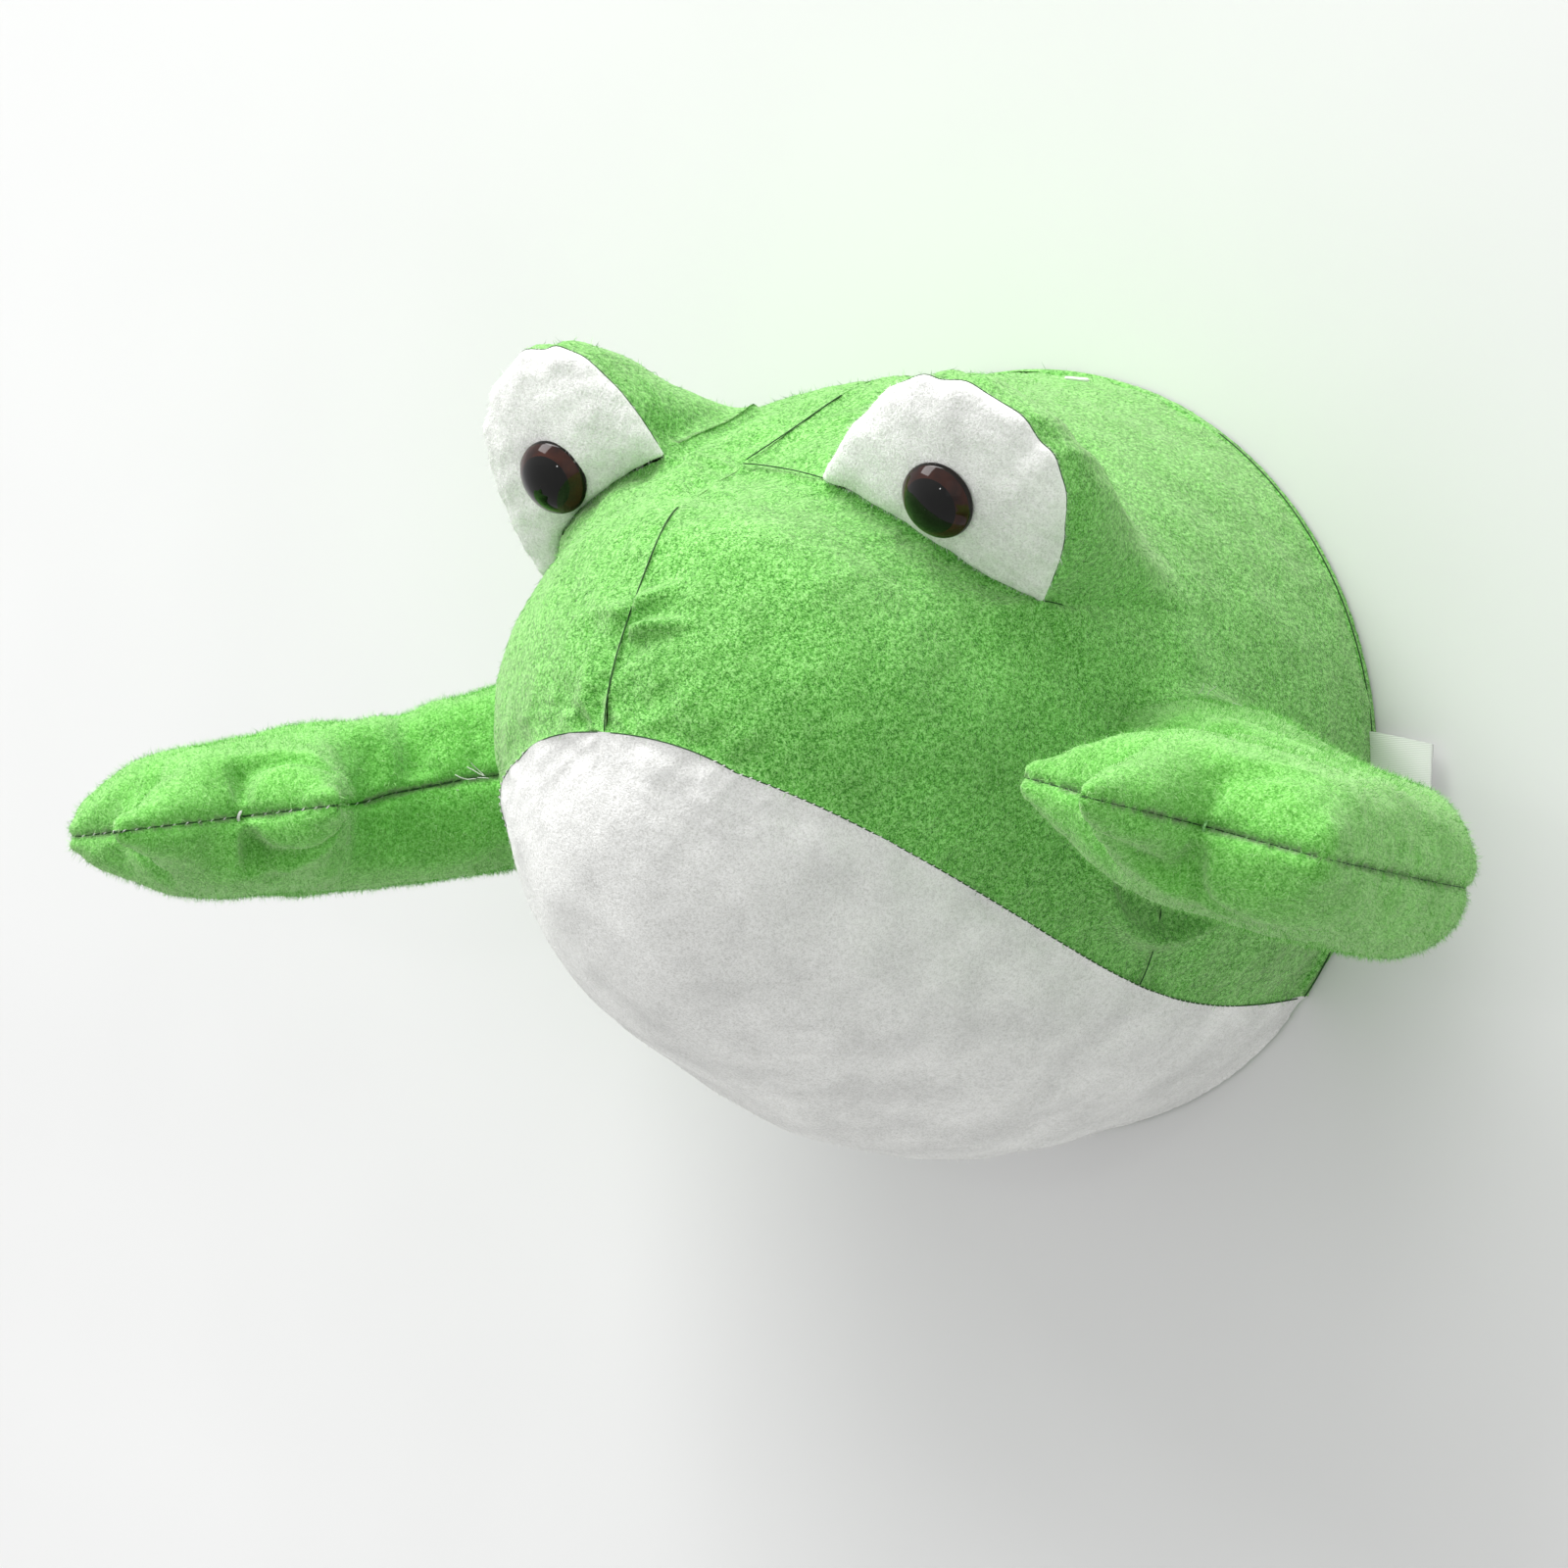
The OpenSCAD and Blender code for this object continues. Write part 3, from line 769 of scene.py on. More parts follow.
def nap(source, slot, count, length, width, seed, material, lean_by=0.9, spread=0.55):
    """Loose fibres of the brushed nap, one thin leaf each, spread over a mesh and lying downwards."""
    rng = np.random.default_rng(seed)
    mesh = source.data
    mesh.calc_loop_triangles()
    tris = np.zeros(len(mesh.loop_triangles) * 3, np.int32)
    mesh.loop_triangles.foreach_get("vertices", tris)
    tris = tris.reshape(-1, 3)
    co = np.zeros(len(mesh.vertices) * 3, np.float32)
    mesh.vertices.foreach_get("co", co)
    co = co.reshape(-1, 3).astype(float) / MM
    a, b, c = co[tris[:, 0]], co[tris[:, 1]], co[tris[:, 2]]
    cross = np.cross(b - a, c - a)
    area = np.linalg.norm(cross, axis=1)
    pick = rng.choice(len(tris), count, p=area / area.sum())
    r1, r2 = np.sqrt(rng.random(count)), rng.random(count)
    root = (1 - r1)[:, None] * a[pick] + (r1 * (1 - r2))[:, None] * b[pick] + (r1 * r2)[:, None] * c[pick]
    normal = unit(cross[pick] + 1e-12)
    flat = -Z_WAY + (normal @ Z_WAY)[:, None] * normal
    drift = rng.normal(size=(count, 3))
    way = unit(normal * rng.uniform(0.25, 1.0, (count, 1)) + lean_by * flat + spread * drift)
    side = unit(np.cross(way, rng.normal(size=(count, 3))))
    size = length * rng.uniform(0.5, 1.4, (count, 1))
    bend = rng.normal(size=(count, 3)) * 0.25
    middle = root + way * size * 0.55 + bend * size * 0.3
    end = root + way * size + (bend - 0.15 * normal) * size
    points = np.stack([root - side * width / 2, root + side * width / 2, middle + side * width * 0.35,
                       middle - side * width * 0.35, end], 1).reshape(-1, 3)
    base = np.arange(count) * 5
    quads = np.stack([base, base + 1, base + 2, base + 3], -1)
    tips = np.stack([base + 3, base + 2, base + 4], -1)
    made = build(source.name + "_nap", points, quads.tolist() + tips.tolist(), material)
    tone = rng.integers(0, len(material), count)
    made.data.polygons.foreach_set("material_index", np.concatenate([tone, tone]).astype(np.int32))
    return made


def finished(made, body, slot, *nodes):
    """Hangs a piece on its body and hides the design's nodes that it stands for. Its slot is not used."""
    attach(made, body)
    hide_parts(*nodes)
    return made


# the number, length and width of the fibres of each nap
HEAD_NAP, BELLY_NAP = (60000, 1.5, 0.12), (42000, 1.2, 0.09)
EYE_NAP, ARM_NAP = (4000, 1.2, 0.09), (38000, 1.6, 0.09)


def head_cloth(name, shape, slot, nodes, fibres, seed):
    """A cloth of the head and its nap."""
    green = slot == "green_fleece"
    piece = finished(build(name, *shape, fleece if green else felt), "head", slot, *nodes)
    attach(nap(piece, slot, *fibres, seed, green_fibres if green else white_fibres), "head")


for side in SIDES:
    seed = SIDES[side]["seed"]
    head_cloth(f"{side}_head_cloth", drop_spare(*head_panel(side)), "green_fleece",
               [f"{side}_head_panel"], HEAD_NAP, 90 + seed)
    inner = [f"{side}_eye_white", f"{side}_eye_stuffing", f"{side}_eye_washer"]
    head_cloth(f"{side}_eye_white_felt", eye_white(side), "white_felt",
               inner, EYE_NAP, 95 + seed)
head_cloth("belly_felt", drop_spare(*belly_panel()), "white_felt",
           ["belly_panel", "head_stuffing"], BELLY_NAP, 99)
finished(build("back_cloth", *back_cloth(), fleece), "head", "green_fleece", "back_panel", "backing_board")

# ---- arms ----
# Plan of an arm from its shoulder point: outward along +X, forward along -Y.
# The last number of each corner is how far its rounding reaches.
ARM_CORNERS = [
    (-34, 26, 0), (30, 27, 20), (68, 20, 26), (78, -38, 24), (88, -103, 5), (53, -105, 2),
    (40, -143, 8), (28, -102, 2), (-3, -99, 4), (24, -63, 7), (12, -40, 12), (-15, -30, 8), (-34, -29, 0),
]
ARM_THICK, ARM_SOFT = 23.8, 4
ROOT_SWELL, ROOT_REACH = 0.08, 40.0
VOXEL = 1.35
FILM_STEPS, FILM_CELL = 3500, 1.5
EDGE_BAND = 3.0  # this near the edge the film's steps are smoothed away


def rounded(corners, spacing):
    """A closed plan outline with each corner rounded by a curve."""
    path = []
    spots = np.array([corner[:2] for corner in corners], float)
    for k, here in enumerate(spots):
        before, after, reach = spots[k - 1], spots[(k + 1) % len(spots)], corners[k][2]
        if reach == 0:
            path.append(here)
            continue
        start, end = here + unit(before - here) * reach, here + unit(after - here) * reach
        for f in np.linspace(0, 1, 13):
            path.append((1 - f) ** 2 * start + 2 * f * (1 - f) * here + f * f * end)
    path.append(path[0])
    path = np.array(path)
    reach = run_of(path)
    return at_marks(path, reach, np.linspace(0, reach[-1], int(reach[-1] / spacing), endpoint=False))


def inside_plan(points, outline):
    x, y = points[:, 0], points[:, 1]
    within = np.zeros(len(points), bool)
    for (x0, y0), (x1, y1) in zip(outline, np.roll(outline, -1, axis=0)):
        crosses = (y0 > y) != (y1 > y)
        with np.errstate(divide="ignore", invalid="ignore"):
            at = (x1 - x0) * (y - y0) / (y1 - y0) + x0
        within ^= crosses & (x < at)
    return within


def beside(field):
    """The sum of the four neighbours of each cell."""
    return np.roll(field, 1, 0) + np.roll(field, -1, 0) + np.roll(field, 1, 1) + np.roll(field, -1, 1)


def inflated(outline):
    """Half thickness over a plan outline: the height that an even pressure gives a skin."""
    cell = FILM_CELL
    low, high = outline.min(0) - 6, outline.max(0) + 6
    xs, ys = np.arange(low[0], high[0], cell), np.arange(low[1], high[1], cell)
    gx, gy = np.meshgrid(xs, ys, indexing="ij")
    spots = np.stack([gx.ravel(), gy.ravel()], -1)
    within = inside_plan(spots, outline).reshape(gx.shape)
    film = np.zeros(gx.shape)
    for _ in range(FILM_STEPS):
        film = np.where(within, beside(film) / 4 + cell * cell / 4, 0)
    edge = near_points(outline)

    def edge_gap(points):
        return np.array([edge.find((*p, 0))[2] for p in points])

    gap = edge_gap(spots).reshape(gx.shape)
    deep = within & (gap > EDGE_BAND)
    steep = np.where(deep, film / np.maximum(gap, 1e-6), 0)
    weight = deep.astype(float)
    for _ in range(12):
        number = beside(weight)
        fresh = (weight == 0) & (number > 0)
        steep = np.where(fresh, beside(steep * weight) / np.maximum(number, 1e-9), steep)
        weight = np.where(fresh, 1.0, weight)

    def sample(field, points):
        fx = np.clip((points[:, 0] - low[0]) / cell, 0, len(xs) - 1.001)
        fy = np.clip((points[:, 1] - low[1]) / cell, 0, len(ys) - 1.001)
        i, j = fx.astype(int), fy.astype(int)
        a, b = fx - i, fy - j
        return ((1 - a) * (1 - b) * field[i, j] + a * (1 - b) * field[i + 1, j]
                + (1 - a) * b * field[i, j + 1] + a * b * field[i + 1, j + 1])

    def height(points):
        gap_here = edge_gap(points)
        by_edge = gap_here * sample(steep, points)
        by_film = sample(film, points)
        pressed = np.sqrt(np.maximum(2 * mix(by_edge, by_film, smooth(gap_here / EDGE_BAND - 1)), 0))
        return pressed * ARM_THICK / (pressed**ARM_SOFT + ARM_THICK**ARM_SOFT) ** (1 / ARM_SOFT)

    return height, edge_gap


def arm_form():
    """The stuffed arm as one closed, even mesh round its flat seam, and that seam's line."""
    outline = rounded(ARM_CORNERS, 1.6)
    height, edge_gap = inflated(outline)
    ahead = np.roll(outline, -1, 0) - np.roll(outline, 1, 0)
    inward = unit(np.stack([ahead[:, 1], -ahead[:, 0]], -1))
    if not inside_plan(outline[:1] + inward[:1], outline)[0]:
        inward = -inward
    rows = []
    for angle in (9, 17, 25, 33, 41, 49):
        inset = 20 * (1 - math.cos(math.radians(angle)))
        row = outline + inward * inset
        rows.append(row[(edge_gap(row) > 0.85 * inset) & inside_plan(row, outline)])
    low, high = outline.min(0), outline.max(0)
    gx, gy = np.meshgrid(np.arange(low[0], high[0], 3.0), np.arange(low[1], high[1], 3.0))
    net = np.stack([gx.ravel(), gy.ravel()], -1)
    net = net[inside_plan(net, outline)]
    rows.append(net[edge_gap(net) > 7.5])
    flat = np.concatenate([outline] + rows)
    n = len(outline)
    cut = geometry.delaunay_2d_cdt(
        [Vector(p) for p in flat], [(k, (k + 1) % n) for k in range(n)], [list(range(n))], 1, 1e-5
    )
    plan = np.array([tuple(v) for v in cut[0]])
    on_edge = edge_gap(plan) < 1e-3
    rise = np.where(on_edge, 0, height(plan))
    count = len(plan)
    under = np.where(on_edge, np.arange(count), np.arange(count) + count)
    points = np.concatenate([np.column_stack([plan, rise]), np.column_stack([plan, -rise])])
    top = [list(face) for face in cut[2]]
    faces = top + [[int(under[v]) for v in face[::-1]] for face in top]
    rough = build("arm_rough", points, faces, fleece)
    even = rough.modifiers.new("even", "REMESH")
    even.mode = "VOXEL"
    even.voxel_size = VOXEL * MM
    graph = bpy.context.evaluated_depsgraph_get()
    mesh = bpy.data.meshes.new_from_object(rough.evaluated_get(graph))
    bpy.data.objects.remove(rough)
    points = np.array([v.co for v in mesh.vertices]) / MM
    quads = [list(p.vertices) for p in mesh.polygons]
    edges = np.array([e.vertices for e in mesh.edges])
    for _ in range(8):
        total, number = np.zeros_like(points), np.zeros(len(points))
        for one, other in ((0, 1), (1, 0)):
            np.add.at(total, edges[:, one], points[edges[:, other]])
            np.add.at(number, edges[:, one], 1)
        points = mix(points, total / number[:, None], 0.5)
    seam = np.column_stack([outline, np.zeros(n)])
    return points, quads, seam


def local_to_row(side, points):
    """Takes points of the arm's plan to the row frame."""
    droop, pitch = math.radians(SIDES[side]["droop"]), math.radians(SIDES[side]["pitch"])
    turn = Matrix.Rotation(droop, 3, "Y") @ Matrix.Rotation(-pitch, 3, "X")
    return on_side(points @ np.array(turn).T + SHOULDER, side)


ELBOW_CUT = np.array([0.745, -0.667])  # across the fold of the elbow
ELBOW_REACH, SHOULDER_REACH = 11.0, 8.0
SEAM_SINK = 0.8
FOLD_LEVEL = 12  # a fold is measured in plan, with each face of the arm laid flat at this height
# In the arm's plan; the third number's sign tells the top from the underside.
ARM_FOLDS = {
    "left": [
        ((53, -105, -1), (64, -88, -19), 3.6, 2.2), ((55, -104, -1), (50, -88, -19), 1.6, 3.0),
        ((56, -103, 2), (78, -90, 13), 2.4, 2.4), ((50, -105, -1), (36, -130, -3), 4.4, 2.2),
        ((28, -102, 1), (30, -88, 19), 1.6, 3.0), ((28, -102, -1), (33, -88, -17), 1.6, 3.0),
        ((12, -46, 0), (34, -28, 19), 2.5, 5.0), ((12, -46, 0), (34, -28, -19), 2.5, 5.0),
        ((-6, 6, 24), (-2, -14, 22), 2.0, 4.0), ((86, -78, 5), (80, -56, 14), 2.0, 4.5),
    ],
    "right": [
        ((28, -101, -2), (3, -88, -10), 5.6, 2.2), ((28, -101, 3), (8, -84, 12), 4.4, 2.2),
        ((3, -85, -1), (24, -99, -1), 3.0, 1.8), ((4, -84, 1), (24, -98, 1), 2.2, 2.0),
        ((26, -100, -4), (30, -78, -20), 2.6, 3.4), ((8, -82, -12), (30, -72, -21), 2.2, 3.6),
        ((54, -104, -1), (56, -88, -18), 1.8, 3.0), ((54, -104, 1), (56, -88, 18), 1.6, 3.0),
        ((15, -62, 1), (24, -52, 14), 3.2, 3.6), ((12, -46, 0), (34, -28, 19), 2.4, 5.0),
        ((12, -46, 0), (32, -26, -19), 2.8, 5.0), ((2, -27, -10), (16, -20, -20), 2.4, 4.0),
        ((40, -34, 22), (52, -18, 22), 2.0, 6.0),
    ],
}


def arm_cover(side, form):
    """Each part's cloth and the stretches of its seam line, in the row frame. They part at the elbow."""
    rest, quads, seam = form
    facts = SIDES[side]
    points = rest.copy()
    gap = distance_to(points, seam)
    on_seam = (np.abs(points[:, 2]) < 0.55 * VOXEL) & (gap < 1.6 * VOXEL)
    seam_tree = near_points(seam)
    for k in np.where(on_seam)[0]:
        points[k] = seam_tree.find(points[k])[0]
    gap[on_seam] = 0
    start = points[on_seam].copy()
    pucker = wavy(points, 11, facts["seed"] + 80)
    push = lips(gap, 1.9 + 0.9 * pucker, 1.6) - SEAM_SINK * np.exp(-gap / 1.4)
    swells = 0.8 * wavy(points, 40, facts["seed"] + 81) + 0.4 * wavy(points, 17, facts["seed"] + 82)
    push += off_seam(gap) * swells
    level = np.column_stack([points[:, :2], FOLD_LEVEL * np.tanh(points[:, 2] / 3)])
    for (x0, y0, z0), (x1, y1, _), depth, width in ARM_FOLDS[side]:
        face = math.copysign(FOLD_LEVEL, z0)
        push += crease(level, (x0, y0, face), (x1, y1, face), depth, width)
    faces = np.array(quads)
    points = points + normals_of(points, faces) * push[:, None]
    if side == "right":
        # its hand is thinner, and thinnest under the outer digit
        near_hand = smooth((-45 - points[:, 1]) / 30)
        points[:, 2] = points[:, 2] * (1 - 0.055 * near_hand) + 0.6 * near_hand
        outer = smooth((points[:, 0] - 55) / 30) * smooth((-50 - points[:, 1]) / 45)
        points[:, 2] *= 1 - 0.2 * outer * (points[:, 2] < 0)
    points = root_form(points, facts["root"])
    moved = near_points(start)
    shift = points[on_seam] - start
    line = np.array([p + np.mean([shift[found[1]] for found in moved.find_n(p, 4)], axis=0) for p in seam])
    line = (np.roll(line, 1, 0) + line + np.roll(line, -1, 0)) / 3
    middle = points[faces].mean(1)
    past = past_elbow(middle)
    faces = faces[:, ::facts["sign"]]
    placed = local_to_row(side, points)
    out_of_head = (line[:, 0] > -8) | (line[:, 1] < -60)
    at_hand = past_elbow(line)
    found = {}
    for part, own, kept in (("upper_arm", ~past, ~at_hand & out_of_head), ("hand", past, at_hand)):
        stretches = [local_to_row(side, run) for run in runs(line, kept)]
        found[part] = drop_spare(placed, faces[own]), stretches
    return found


def past_elbow(points):
    return (points[:, :2] - ELBOW) @ ELBOW_CUT > -ELBOW_REACH


def root_form(points, rise):
    """The arm is fuller and higher where it leaves the head."""
    near = (1 - smooth(points[:, 0] / ROOT_REACH)) * smooth((points[:, 1] + 62) / 12)
    height = points[:, 2] * (1 + ROOT_SWELL * near) + rise * near
    return np.column_stack([points[:, :2], height])


def runs(line, keep):
    """The unbroken stretches of a closed line where keep is true."""
    first = int(np.argmin(keep))
    line, keep = np.roll(line, -first, 0), np.roll(keep, -first)
    found, run = [], []
    for spot, inside in zip(line, keep):
        if inside:
            run.append(spot)
        elif run:
            found.append(np.array(run))
            run = []
    if run:
        found.append(np.array(run))
    return [each for each in found if len(each) > 3]


def arm_blend(piece):
    """Bakes the piece's placement into its mesh."""
    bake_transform(piece)


def thread_piece(name, parts, material):
    """Threads joined into one mesh; parts are the points and faces of each tube."""
    made = build(name, *join_parts(parts), material)
    return made


# Near-black tubes along the lines: painted shade of the seams' grooves.
def seam_piece(name, lines, radius):
    tubes = [tube(resample(line, 0.8), radius) for line in lines]
    return thread_piece(name, tubes, painted_seam_shade)


def arm_out(side):
    """The direction out of the arm at a seam point, for stitches that lie over the seam."""
    middle, above, foot = local_to_row(side, np.array([[46.0, -78.0, 0.0], [0, 0, 1], [0, 0, 0]]))
    tilt = above - foot

    def outward(spot):
        way = spot - middle
        return unit(way - way.dot(tilt) * tilt)

    return outward


def notch_bar(side, lines):
    """The thick stitch that closes the notch between two digits."""
    notch = local_to_row(side, np.array([[*NOTCHES[side], 0.0]]))[0]
    spots = np.concatenate(lines)
    nearest = spots[np.argmin(np.linalg.norm(spots - notch, axis=1))]
    way = np.array([0.25, -0.1, 1.0])
    bow = np.linspace(-1.7, 1.7, 9)
    return tube([nearest + way * b + np.array([0, 0.4 * b * b - 1.9, 0]) for b in bow], 0.42)


def arm_threads(side, part, number, lines, outward):
    """The dark seam line, painted shade of the seam's groove, left out where the head hides it, and the
    stitches over it.
    """
    look = ARM_SEWING[side]
    if side == "right" or part == "hand":
        arm_blend(seam_piece(f"{side}_{part}_seam", lines, look["seam"]))
    sewn = [stitches(run, outward, *look["stitch"], look["seed"] + number, **look["over"]) for run in lines]
    if part == "hand":
        sewn.append(notch_bar(side, lines))
    made = thread_piece(f"{side}_{part}_stitches", sewn, look["thread"])
    arm_blend(made)


NOTCHES = {"left": (55, -104), "right": (28, -102)}
# seam is the radius of the near-black line of painted shade along the seam; stitch gives the pitch, length
# and radius of the hand stitches
ARM_SEWING = {
    "left": {"seam": 0.22, "stitch": (2.9, 0.9, 0.2), "seed": 75, "over": {"across": 0.2, "lift": 0.15},
             "thread": pale_thread},
    "right": {"seam": 0.3, "stitch": (3.9, 1.5, 0.17), "seed": 71, "over": {"across": 0.9, "lift": 0.45},
              "thread": white_thread},
}
form = arm_form()
for side in SIDES:
    outward = arm_out(side)
    for number, (part, (cloth, lines)) in enumerate(arm_cover(side, form).items()):
        piece = build(f"{side}_{part}_cloth", *cloth, arm_fleece_painted_sheen)
        arm_blend(piece)
        stood_for = [f"{side}_{part}_top", f"{side}_{part}_bottom", f"{side}_{part}_stuffing"]
        if part == "upper_arm":
            stood_for.append(f"{side}_shoulder_root")
        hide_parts(*stood_for)
        seed = 50 + SIDES[side]["seed"] + number
        fuzz = nap(piece, "green_fleece", *ARM_NAP, seed, arm_fibres_painted_sheen, lean_by=0.3, spread=0.5)
        arm_blend(fuzz)
        arm_threads(side, part, number, lines, outward)


# ---- plastic eyes ----
EYE_SIDES, PUPIL_SHARE = 96, 0.73


def eye_axes(side):
    """The middle of the eye's seat, and its outward, right and up directions."""
    a, w = (np.array([value]) for value in SIDES[side]["eye"])
    seat = on_side(white_pt(a, w, side)[0], side)
    tilt = math.radians(EYE_TILT)
    out = np.array([0, -math.cos(tilt), -math.sin(tilt)])
    return seat, out, X_WAY, np.cross(X_WAY, out)


def turned(side, profile, sides=EYE_SIDES):
    """A round form from a list of (radius, height) about the eye's axis."""
    seat, out, right, up = eye_axes(side)
    rings = [ring_points(seat + out * height, right, up, radius, sides) for radius, height in profile]
    return np.concatenate(rings), ring_faces(len(profile), sides)


def eye_piece(side):
    """A moulded flange that rises into a dome; the sphere's radius follows from its height."""
    r = EYE_D / 2
    ball = (r * r + DOME_H * DOME_H) / (2 * DOME_H)
    rim = [(r - 1.2, -0.4), (r - 0.2, -0.2), (r, 0.2), (r, FLANGE_T - 0.5), (r - 0.12, FLANGE_T - 0.1)]
    steep = math.asin((r - 0.3) / ball)
    dome = [(ball * math.sin(angle), FLANGE_T + DOME_H - ball + ball * math.cos(angle))
            for angle in np.linspace(steep, 0.004, 40)]
    made = build(f"{side}_eye_dome", *turned(side, rim + dome), [rim_plastic, iris_plastic, pupil_plastic])
    radii = np.array(rim + dome)[:, 0]
    band = (radii[:-1] + radii[1:]) / 2
    look = np.where(band > PUPIL_SHARE * r, 1, 2)
    look[(np.arange(len(band)) < len(rim)) | (band > 0.965 * r)] = 0
    made.data.polygons.foreach_set("material_index", np.repeat(look, EYE_SIDES).astype(np.int32))
    finished(made, "head", "brown_plastic", f"{side}_eye_iris", f"{side}_eye_pupil")


rim_plastic = eye_plastic("rim_plastic", rgb(0.003, 0.002, 0.002), rgb(0.010, 0.006, 0.004), 260.0)
iris_plastic = eye_plastic("iris_plastic", rgb(0.012, 0.004, 0.003), rgb(0.045, 0.012, 0.007), 190.0)
pupil_plastic = eye_plastic("pupil_plastic", rgb(0.0012, 0.0012, 0.0014), rgb(0.003, 0.0028, 0.0026), 260.0)
for side in SIDES:
    eye_piece(side)


# ---- seams of the head ----
def out_of_head(spot):
    middle = np.array([0.0, -95.0, 4.0])
    return unit((spot - middle) * np.array([1.0, 0.35, 1.0]))


def sunk(line, depth=0.12):
    """A line drawn a little into the cloth, so that only the top of its dark tube of painted shade shows.
    """
    return np.array([spot - depth * out_of_head(spot) for spot in line])


# The near-black lines below are painted shade. They stand for the shade in the grooves of the middle seam,
# the eye's top edge and foot, the slit and the mouth seam. On the left they also stand for the shade of a
# fold behind the eye's outer corner and of the cross seam.
dark_lines = [sunk(MIDDLE_SEAM[128:186]), sunk(MIDDLE_SEAM[248:])]
for side in SIDES:
    own = [ridge_line(side, 0.01, 0.99), EYE_BASE[side], sunk(SLIT_SEAM[:-4]), sunk(MOUTH_SEAM[8:-3], 0.2)]
    if side == "left":
        corner_fold_u = np.array([0.47, 0.465, 0.46])
        corner_fold_t = side_seam_t(corner_fold_u) - np.array([0.0, 0.01, 0.02])
        own += [half_pt(corner_fold_u, corner_fold_t) + corner_rise(corner_fold_u, corner_fold_t), sunk(CROSS_SEAM[side])]
    dark_lines += [on_side(line, side) for line in own]
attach(seam_piece("head_seams", [sewn_aside(line) for line in dark_lines], 0.19), "head")
# The rim seam's dark line is painted shade as well.
rim_phi = np.linspace(mouth_phi(0.0), 58.0, 240)
rim_lines = [sunk(head_pt(phi, 0.006), 0.15) for phi in (rim_phi, 180 - rim_phi)]
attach(seam_piece("rim_seam", rim_lines, 0.26), "head")
mouth = MOUTH_SEAM[60:420]
sewn = [stitches(mouth, out_of_head, 2.4, 1.0, 0.15, 81, across=0.8, lift=0.22),
        stitches(on_side(mouth, "right"), out_of_head, 4.8, 0.9, 0.14, 82, across=0.8, lift=0.2)]
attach(thread_piece("mouth_stitches", sewn, white_thread), "head")


# ---- loose threads ----
def curl(start, way, length, radius, rng, bend=0.5):
    """A loose end of thread that wanders from its start."""
    spot, way = np.array(start, float), unit(np.array(way, float))
    turn = rng.normal(size=3) * bend
    path, step = [spot], length / 14
    for _ in range(14):
        turn = 0.7 * turn + rng.normal(size=3) * bend * 0.6
        way = unit(way + turn * step / 2.5)
        spot = spot + way * step
        path.append(spot)
    return tube(path, radius, 5)


def loose_threads(name, material, seed, spots):
    rng = np.random.default_rng(seed)
    parts = []
    for start, way, length, radius, number in spots:
        for _ in range(number):
            begin = np.array(start, float) + rng.normal(size=3) * 1.6
            heading = np.array(way, float) + rng.normal(size=3) * 0.45
            parts.append(curl(begin, heading, length * rng.uniform(0.6, 1.3), radius, rng))
    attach(thread_piece(name, parts, material), "head")


# start, first direction, length, radius and number of ends
loose_threads("loose_threads", white_thread, 15, [
    ((-108, -112, -9), (-0.6, -0.7, -0.2), 7.0, 0.13, 6),
    ((-101, -119, -4), (-0.5, -0.8, 0.5), 5.0, 0.12, 4),
    ((95, -74, 20), (0.5, -0.6, 0.5), 9.0, 0.09, 5),
    ((99, -62, 19), (0.7, -0.4, -0.5), 14.0, 0.08, 3),
])


# ---- label, hanging tape and tag bar ----
def box_of(node):
    return (np.array(corner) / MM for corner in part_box(node))


def label_cloth():
    """A blank satin label folded double, with its fold outermost and its ends in the rim seam."""
    low, high = box_of("care_label")
    reach, tall = high[0] - low[0], high[2] - low[2]
    x_in, y_mid, z_mid = low[0] - 1.4, (low[1] + high[1]) / 2, (low[2] + high[2]) / 2
    length, fold_r = reach + 1.2, 0.22
    points = []
    for f in np.linspace(0, 1, 61):
        back = abs(2 * f - 1)
        x = x_in + length * (1 - back)
        layer = fold_r * (1 if f < 0.5 else -1) * min(1.0, back * 30)
        for g in np.linspace(-0.5, 0.5, 33):
            z = z_mid + g * tall - 2.3 * ((x - x_in) / reach) ** 1.4
            bow = -1.1 * math.sin(math.pi * (x - x_in) / reach * 0.8) + 0.35 * math.sin(5 * g + x / 5)
            points.append((x, y_mid + layer + bow, z))
    piece = build("care_label_cloth", points, grid_faces(61, 33), satin_material("satin"))
    finished(piece, "care_label", "satin_label", "care_label")


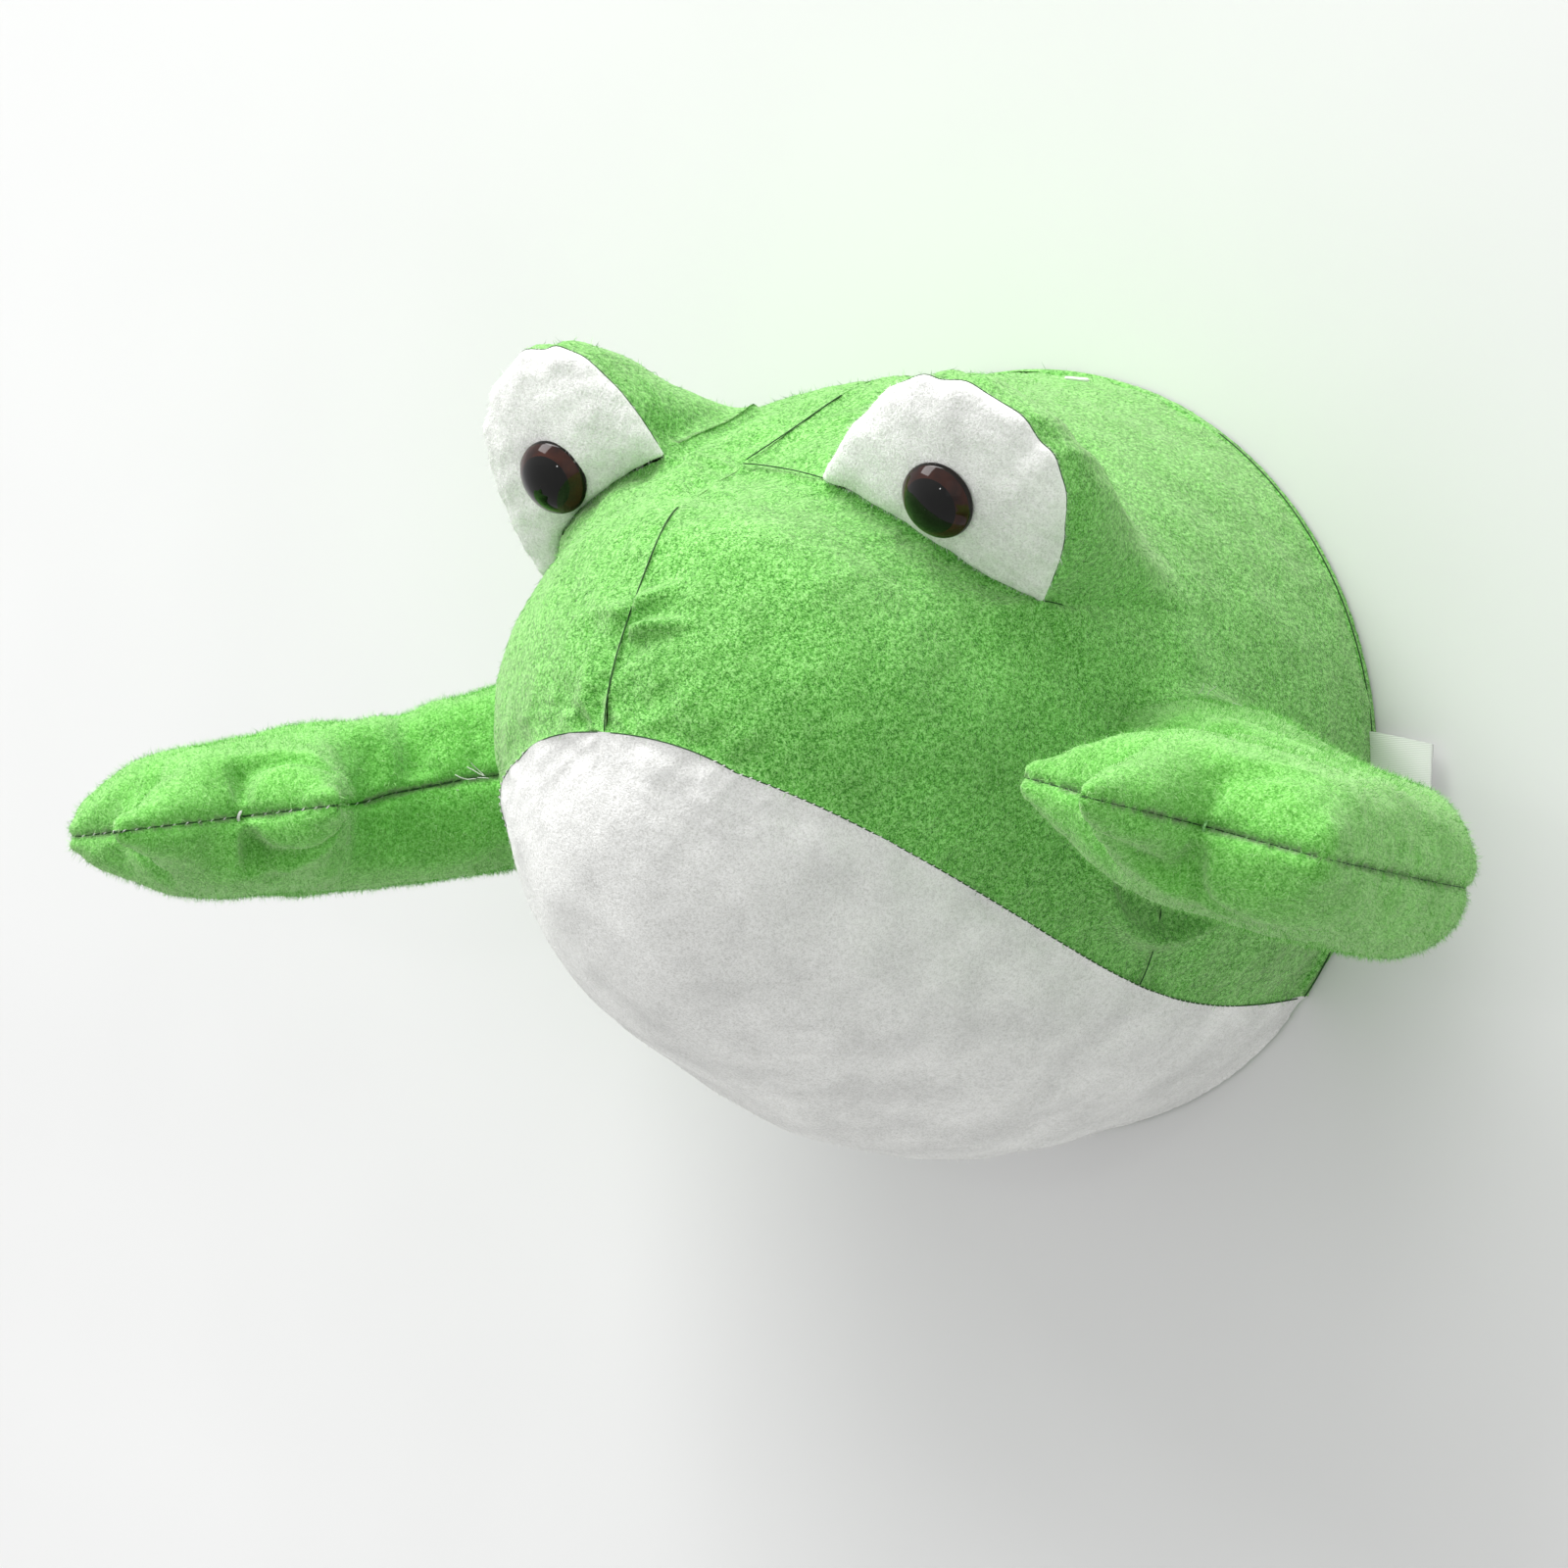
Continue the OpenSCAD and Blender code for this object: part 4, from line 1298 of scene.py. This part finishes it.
def hanging_tape():
    """The tape's legs run down from the seam and are mitred into its foot, each fold a little thicker."""
    low, high = box_of("hanging_loop")
    wide = (high[0] - low[0]) / 3
    x0, x1, z0, z1 = low[0], high[0], low[2], high[2]
    y = (low[1] + high[1]) / 2
    outer = [(x0, z1), (x0, z0), (x1, z0), (x1, z1)]
    inner = [(x0 + wide, z1), (x0 + wide, z0 + wide), (x1 - wide, z0 + wide), (x1 - wide, z1)]
    rows = []
    for (a, b), (c, d) in zip(zip(outer, outer[1:]), zip(inner, inner[1:])):
        for f in np.linspace(0, 1, 25):
            start, end = mix(np.array(a), np.array(b), f), mix(np.array(c), np.array(d), f)
            rows.append([mix(start, end, g) for g in np.linspace(0, 1, 9)])
    grid = np.array(rows)
    spots = np.stack([grid[..., 0], np.full(grid.shape[:2], y), grid[..., 1]], -1)
    mitre = [np.linalg.norm(spots - spots[row], axis=-1) for row in (24, 50)]
    half = 0.24 + 0.06 * np.exp(-np.minimum(*mitre) / 2)
    ripple = 0.06 * wavy(spots, 9, 17)
    front, rear = spots.copy(), spots.copy()
    front[..., 1] -= half - ripple
    rear[..., 1] += half + ripple
    n, m = spots.shape[:2]
    points = np.concatenate([front.reshape(-1, 3), rear.reshape(-1, 3)])
    faces = grid_faces(n, m).tolist() + grid_faces(n, m, n * m)[:, ::-1].tolist()
    border = list(range(m)) + [j * m + m - 1 for j in range(1, n)]
    border += [(n - 1) * m + i for i in range(m - 2, -1, -1)] + [j * m for j in range(n - 2, 0, -1)]
    for here, there in zip(border, border[1:] + border[:1]):
        faces.append([there, here, here + n * m, there + n * m])
    piece = build("hanging_tape", points, faces, tape_material("tape"))
    finished(piece, "hanging_loop", "cotton_tape", "hanging_loop")


def tag_bar():
    """The moulded bar of a cut-off price tag, rounded at its ends."""
    low, high = box_of("tag_pin")
    middle, half = (low + high) / 2, (high - low) / 2
    reach = half - 0.45
    path = [middle + reach * np.array([f, f, -f]) for f in np.linspace(-1, 1, 15)]
    nylon = thread_material("nylon", rgb(0.72, 0.74, 0.70), rgb(0.88, 0.89, 0.87), 500.0)
    finished(build("tag_bar", *tube(path, 0.5, 16), nylon), "head", "white_plastic", "tag_pin")


label_cloth()
hanging_tape()
tag_bar()


# ---- stage, light and camera ----
BOARD_Y, BOARD_RADII = 0.8, (99.5, 400.0, 2600.0)


def backdrop():
    """A flat pale board behind the back, seen from the front only. Its hole lets light reach the back."""
    sides = 96
    rings = [ring_points(np.array([0, BOARD_Y, 0]), X_WAY, Z_WAY, r, sides) for r in BOARD_RADII]
    made, tree, shader = node_material("pale_wall", Roughness=0.9)
    tone = noise(tree, object_coords(tree), 6.0, 2.0)
    paint(tree, shader, tone, [(0.3, rgb(0.73, 0.728, 0.73)), (0.7, rgb(0.76, 0.758, 0.76))])
    clear = new_node(tree, "ShaderNodeBsdfTransparent")
    either = new_node(tree, "ShaderNodeMixShader")
    facing = new_node(tree, "ShaderNodeNewGeometry").outputs["Backfacing"]
    tree.links.new(facing, either.inputs[0])
    tree.links.new(shader.outputs[0], either.inputs[1])
    tree.links.new(clear.outputs[0], either.inputs[2])
    tree.links.new(either.outputs[0], tree.nodes["Material Output"].inputs["Surface"])
    return build("backdrop", np.concatenate(rings), ring_faces(len(BOARD_RADII), sides), made)


def area_light(name, place, aim, size, power):
    data = bpy.data.lights.new(name, "AREA")
    data.shape = "SQUARE"
    data.size = size
    data.energy = power
    lamp = bpy.data.objects.new(name, data)
    lamp.location = place
    lamp.rotation_mode = "QUATERNION"
    lamp.rotation_quaternion = (Vector(aim) - Vector(place)).to_track_quat("-Z", "Y")
    bpy.context.scene.collection.objects.link(lamp)


backdrop()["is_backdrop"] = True
TOY, BACK = (0, -0.08, 0), (0, 0, 0)
for name, place, at, size, power in (
    ("softbox", (-1.72, -1.9, 2.62), TOY, 1.6, 62.0),
    ("overhead", (-0.9, -0.6, 3.5), TOY, 2.0, 140.0),
    ("small_window", (0.34, -1.84, 0.32), TOY, 0.09, 0.7),
    ("fill", (1.9, -2.2, 0.5), TOY, 1.8, 2.0),
    ("behind", (-1.2, 2.0, 1.4), BACK, 1.2, 26.0),
):
    area_light(name, place, at, size, power)


WINDOW_WAY, ROOM_STRENGTH = (-0.5, -0.1, 0.86), 1.16


def studio_world():
    """A pale room, brighter above and to the left than behind the camera."""
    world = bpy.data.worlds.new("studio")
    bpy.context.scene.world = world
    world.use_nodes = True
    tree = world.node_tree
    way = new_node(tree, "ShaderNodeTexCoord").outputs["Generated"]
    lit = new_node(tree, "ShaderNodeVectorMath", operation="DOT_PRODUCT")
    lit.inputs[1].default_value = WINDOW_WAY
    tree.links.new(way, lit.inputs[0])
    half = new_node(tree, "ShaderNodeMath", operation="MULTIPLY_ADD")
    half.inputs[1].default_value, half.inputs[2].default_value = 0.5, 0.5
    tree.links.new(lit.outputs["Value"], half.inputs[0])
    stops = [(0.2, rgb(0.56, 0.565, 0.56)), (0.55, rgb(0.66, 0.665, 0.66)), (0.95, rgb(0.92, 0.925, 0.92))]
    sky = ramp(tree, half.outputs[0], stops)
    tree.links.new(sky, tree.nodes["Background"].inputs["Color"])
    tree.nodes["Background"].inputs["Strength"].default_value = ROOM_STRENGTH


studio_world()
bpy.context.scene.view_settings.view_transform = "Standard"

VIEW_AZIMUTH, VIEW_ELEVATION, VIEW_ROLL = 34.57, 5.09, 0.11
VIEW_DISTANCE, VIEW_LENS = 1.7892, 157.5
AIM_BACK, AIM_RIGHT, AIM_UP = -0.0727, -0.0292, -0.00414
camera_data = bpy.data.cameras.new("camera")
camera_data.lens, camera_data.sensor_width = VIEW_LENS, 36.0
camera = bpy.data.objects.new("camera", camera_data)
bpy.context.scene.collection.objects.link(camera)
azimuth, elevation = math.radians(VIEW_AZIMUTH), math.radians(VIEW_ELEVATION)
right_way = Vector((math.cos(azimuth), math.sin(azimuth), 0))
ahead_way = Vector((math.sin(azimuth), -math.cos(azimuth), 0))
towards_camera = math.cos(elevation) * ahead_way + Vector((0, 0, math.sin(elevation)))
up_way = towards_camera.cross(right_way)
aim = Vector((0, AIM_BACK, 0)) + AIM_RIGHT * right_way + AIM_UP * up_way
camera.location = aim + VIEW_DISTANCE * towards_camera
look = (-towards_camera).to_track_quat("-Z", "Y")
camera.rotation_mode = "QUATERNION"
camera.rotation_quaternion = look @ Matrix.Rotation(math.radians(VIEW_ROLL), 4, "Z").to_quaternion()
bpy.context.scene.camera = camera

size = {"cad": [list(corner) for corner in cad_box], "visual": [list(corner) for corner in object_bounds()]}
